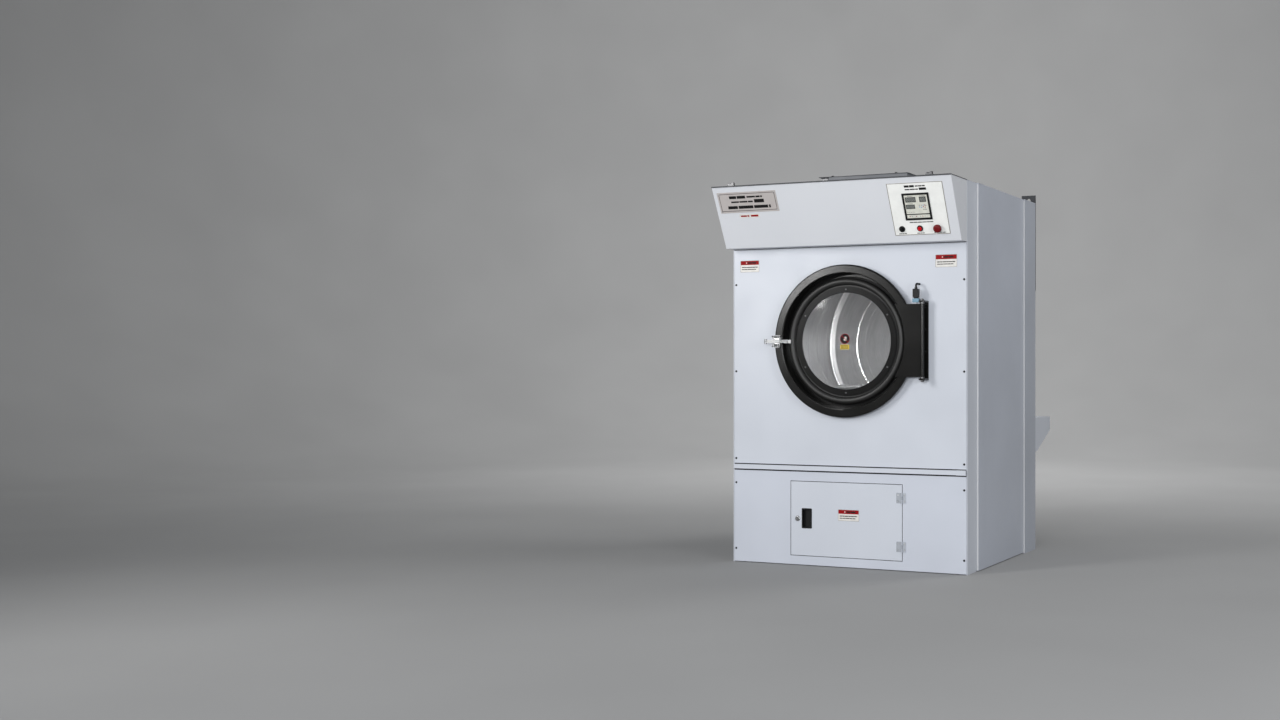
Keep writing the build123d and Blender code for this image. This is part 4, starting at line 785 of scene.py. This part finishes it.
def heater_clamp():
    """Clamp at the front of the heater box, with a block on its face."""
    bm = bmesh.new()
    add_box(bm, 0, 0, 0, 38, 3.0, 17)
    add_box(bm, -8, -2.5, 4, 9, 3.0, 9)
    finish_piece("heater_clamp", bm, standing(-249, -270.7, 2006), DIM_STEEL, "cabinet")


for number, x in enumerate((-538.0, 538.0)):
    lid_fastener(number, x)
heater_clamp()


# ---------------------------------------------------------------- floor, lights and camera
def studio_bowl():
    """Plain pale floor that turns up into a wall all round, far from the object."""
    flat, bend, top = 8, 5, 9.5
    profile = [(0, 0), (flat / 2, 0), (flat, 0)]
    angles = [radians(6 * k) for k in range(1, 16)]
    profile += [(flat + bend * sin(a), bend - bend * cos(a)) for a in angles]
    profile.append((flat + bend, top))
    bm = bmesh.new()
    lathe(bm, profile, 128)
    mesh = bpy.data.meshes.new("studio_floor")
    bm.to_mesh(mesh)
    bm.free()
    for polygon in mesh.polygons:
        polygon.use_smooth = True
    floor = bpy.data.objects.new("studio_floor", mesh)
    bpy.context.scene.collection.objects.link(floor)
    surface = Surface("studio_paper")
    tone = surface.span(surface.noise(0.8, 2.0), 0.3, 0.7, 0.0, 1.0)
    surface.set(Base_Color=surface.mix(tone, rgb(0.31, 0.31, 0.31), rgb(0.33, 0.33, 0.33)), Roughness=0.9)
    surface.set(Normal=surface.bump(surface.noise(240.0, 2.0), 0.0001))
    mesh.materials.append(surface.material)


def area_light(name, place, target, size, power, colour=(1, 1, 1), spread=180):
    """Rectangular lamp pointed at a target, its beam narrowed to an angle in degrees."""
    light = bpy.data.lights.new(name, "AREA")
    light.spread = radians(spread)
    light.shape = "RECTANGLE"
    light.size, light.size_y = size
    light.energy = power
    light.color = colour
    lamp = bpy.data.objects.new(name, light)
    lamp.location = place
    lamp.rotation_euler = (Vector(target) - Vector(place)).to_track_quat("-Z", "Y").to_euler()
    bpy.context.scene.collection.objects.link(lamp)


studio_bowl()
WARM = (1.0, 0.995, 0.985)
COOL = (0.965, 0.98, 1.0)
area_light("key_left", (-2.82, -4.94, 2.8), (0.0, -0.5, 1.05), (1.25, 2.6), 36, WARM, 100)
area_light("ring_glint", (-2.89, -5.96, 1.92), (-0.21, -0.587, 1.45), (0.36, 0.36), 17)
area_light("low_fill", (1.7, -8.6, 2.1), (0, -0.5, 1.0), (3.4, 1.2), 285, COOL)
area_light("right_fill", (4.6, -3.6, 1.9), (0.4, 0.0, 0.8), (1.6, 1.6), 61, (0.97, 0.98, 1.0))
area_light("rear_fill", (3.6, 3.0, 5.0), (1.4, 0.9, 0.0), (2.4, 2.4), 110)
area_light("backdrop", (-1.2, 4.2, 6.2), (-5.0, 11.4, 1.2), (4.0, 2.0), 590)
area_light("drum_lamp", (0.30, -0.44, DRUM_AXIS + 0.05), (-0.55, 0.12, DRUM_AXIS), (0.10, 0.34), 4.1)
area_light("drum_upper_lamp", (0.16, -0.45, DRUM_AXIS + 0.36), (-0.25, 0.45, DRUM_AXIS), (0.24, 0.06), 1.5)

world = bpy.data.worlds.new("studio_air")
world.use_nodes = True
world.node_tree.nodes["Background"].inputs["Color"].default_value = (0.82, 0.84, 0.86, 1.0)
world.node_tree.nodes["Background"].inputs["Strength"].default_value = 0.45
bpy.context.scene.world = world

camera = bpy.data.cameras.new("camera")
camera.lens = 39.5
camera.sensor_width = 36.0
camera.shift_x = -0.1875                  # the object stands right of the middle
camera.shift_y = 0.0054
camera.clip_end = 60.0
viewer = bpy.data.objects.new("camera", camera)
viewer.location = (2.931, -7.054, 1.022)
viewer.rotation_euler = (radians(90.0), 0.0, radians(22.87))      # level, turned towards the left
bpy.context.scene.collection.objects.link(viewer)
bpy.context.scene.camera = viewer
bpy.context.scene.view_settings.view_transform = "Standard"
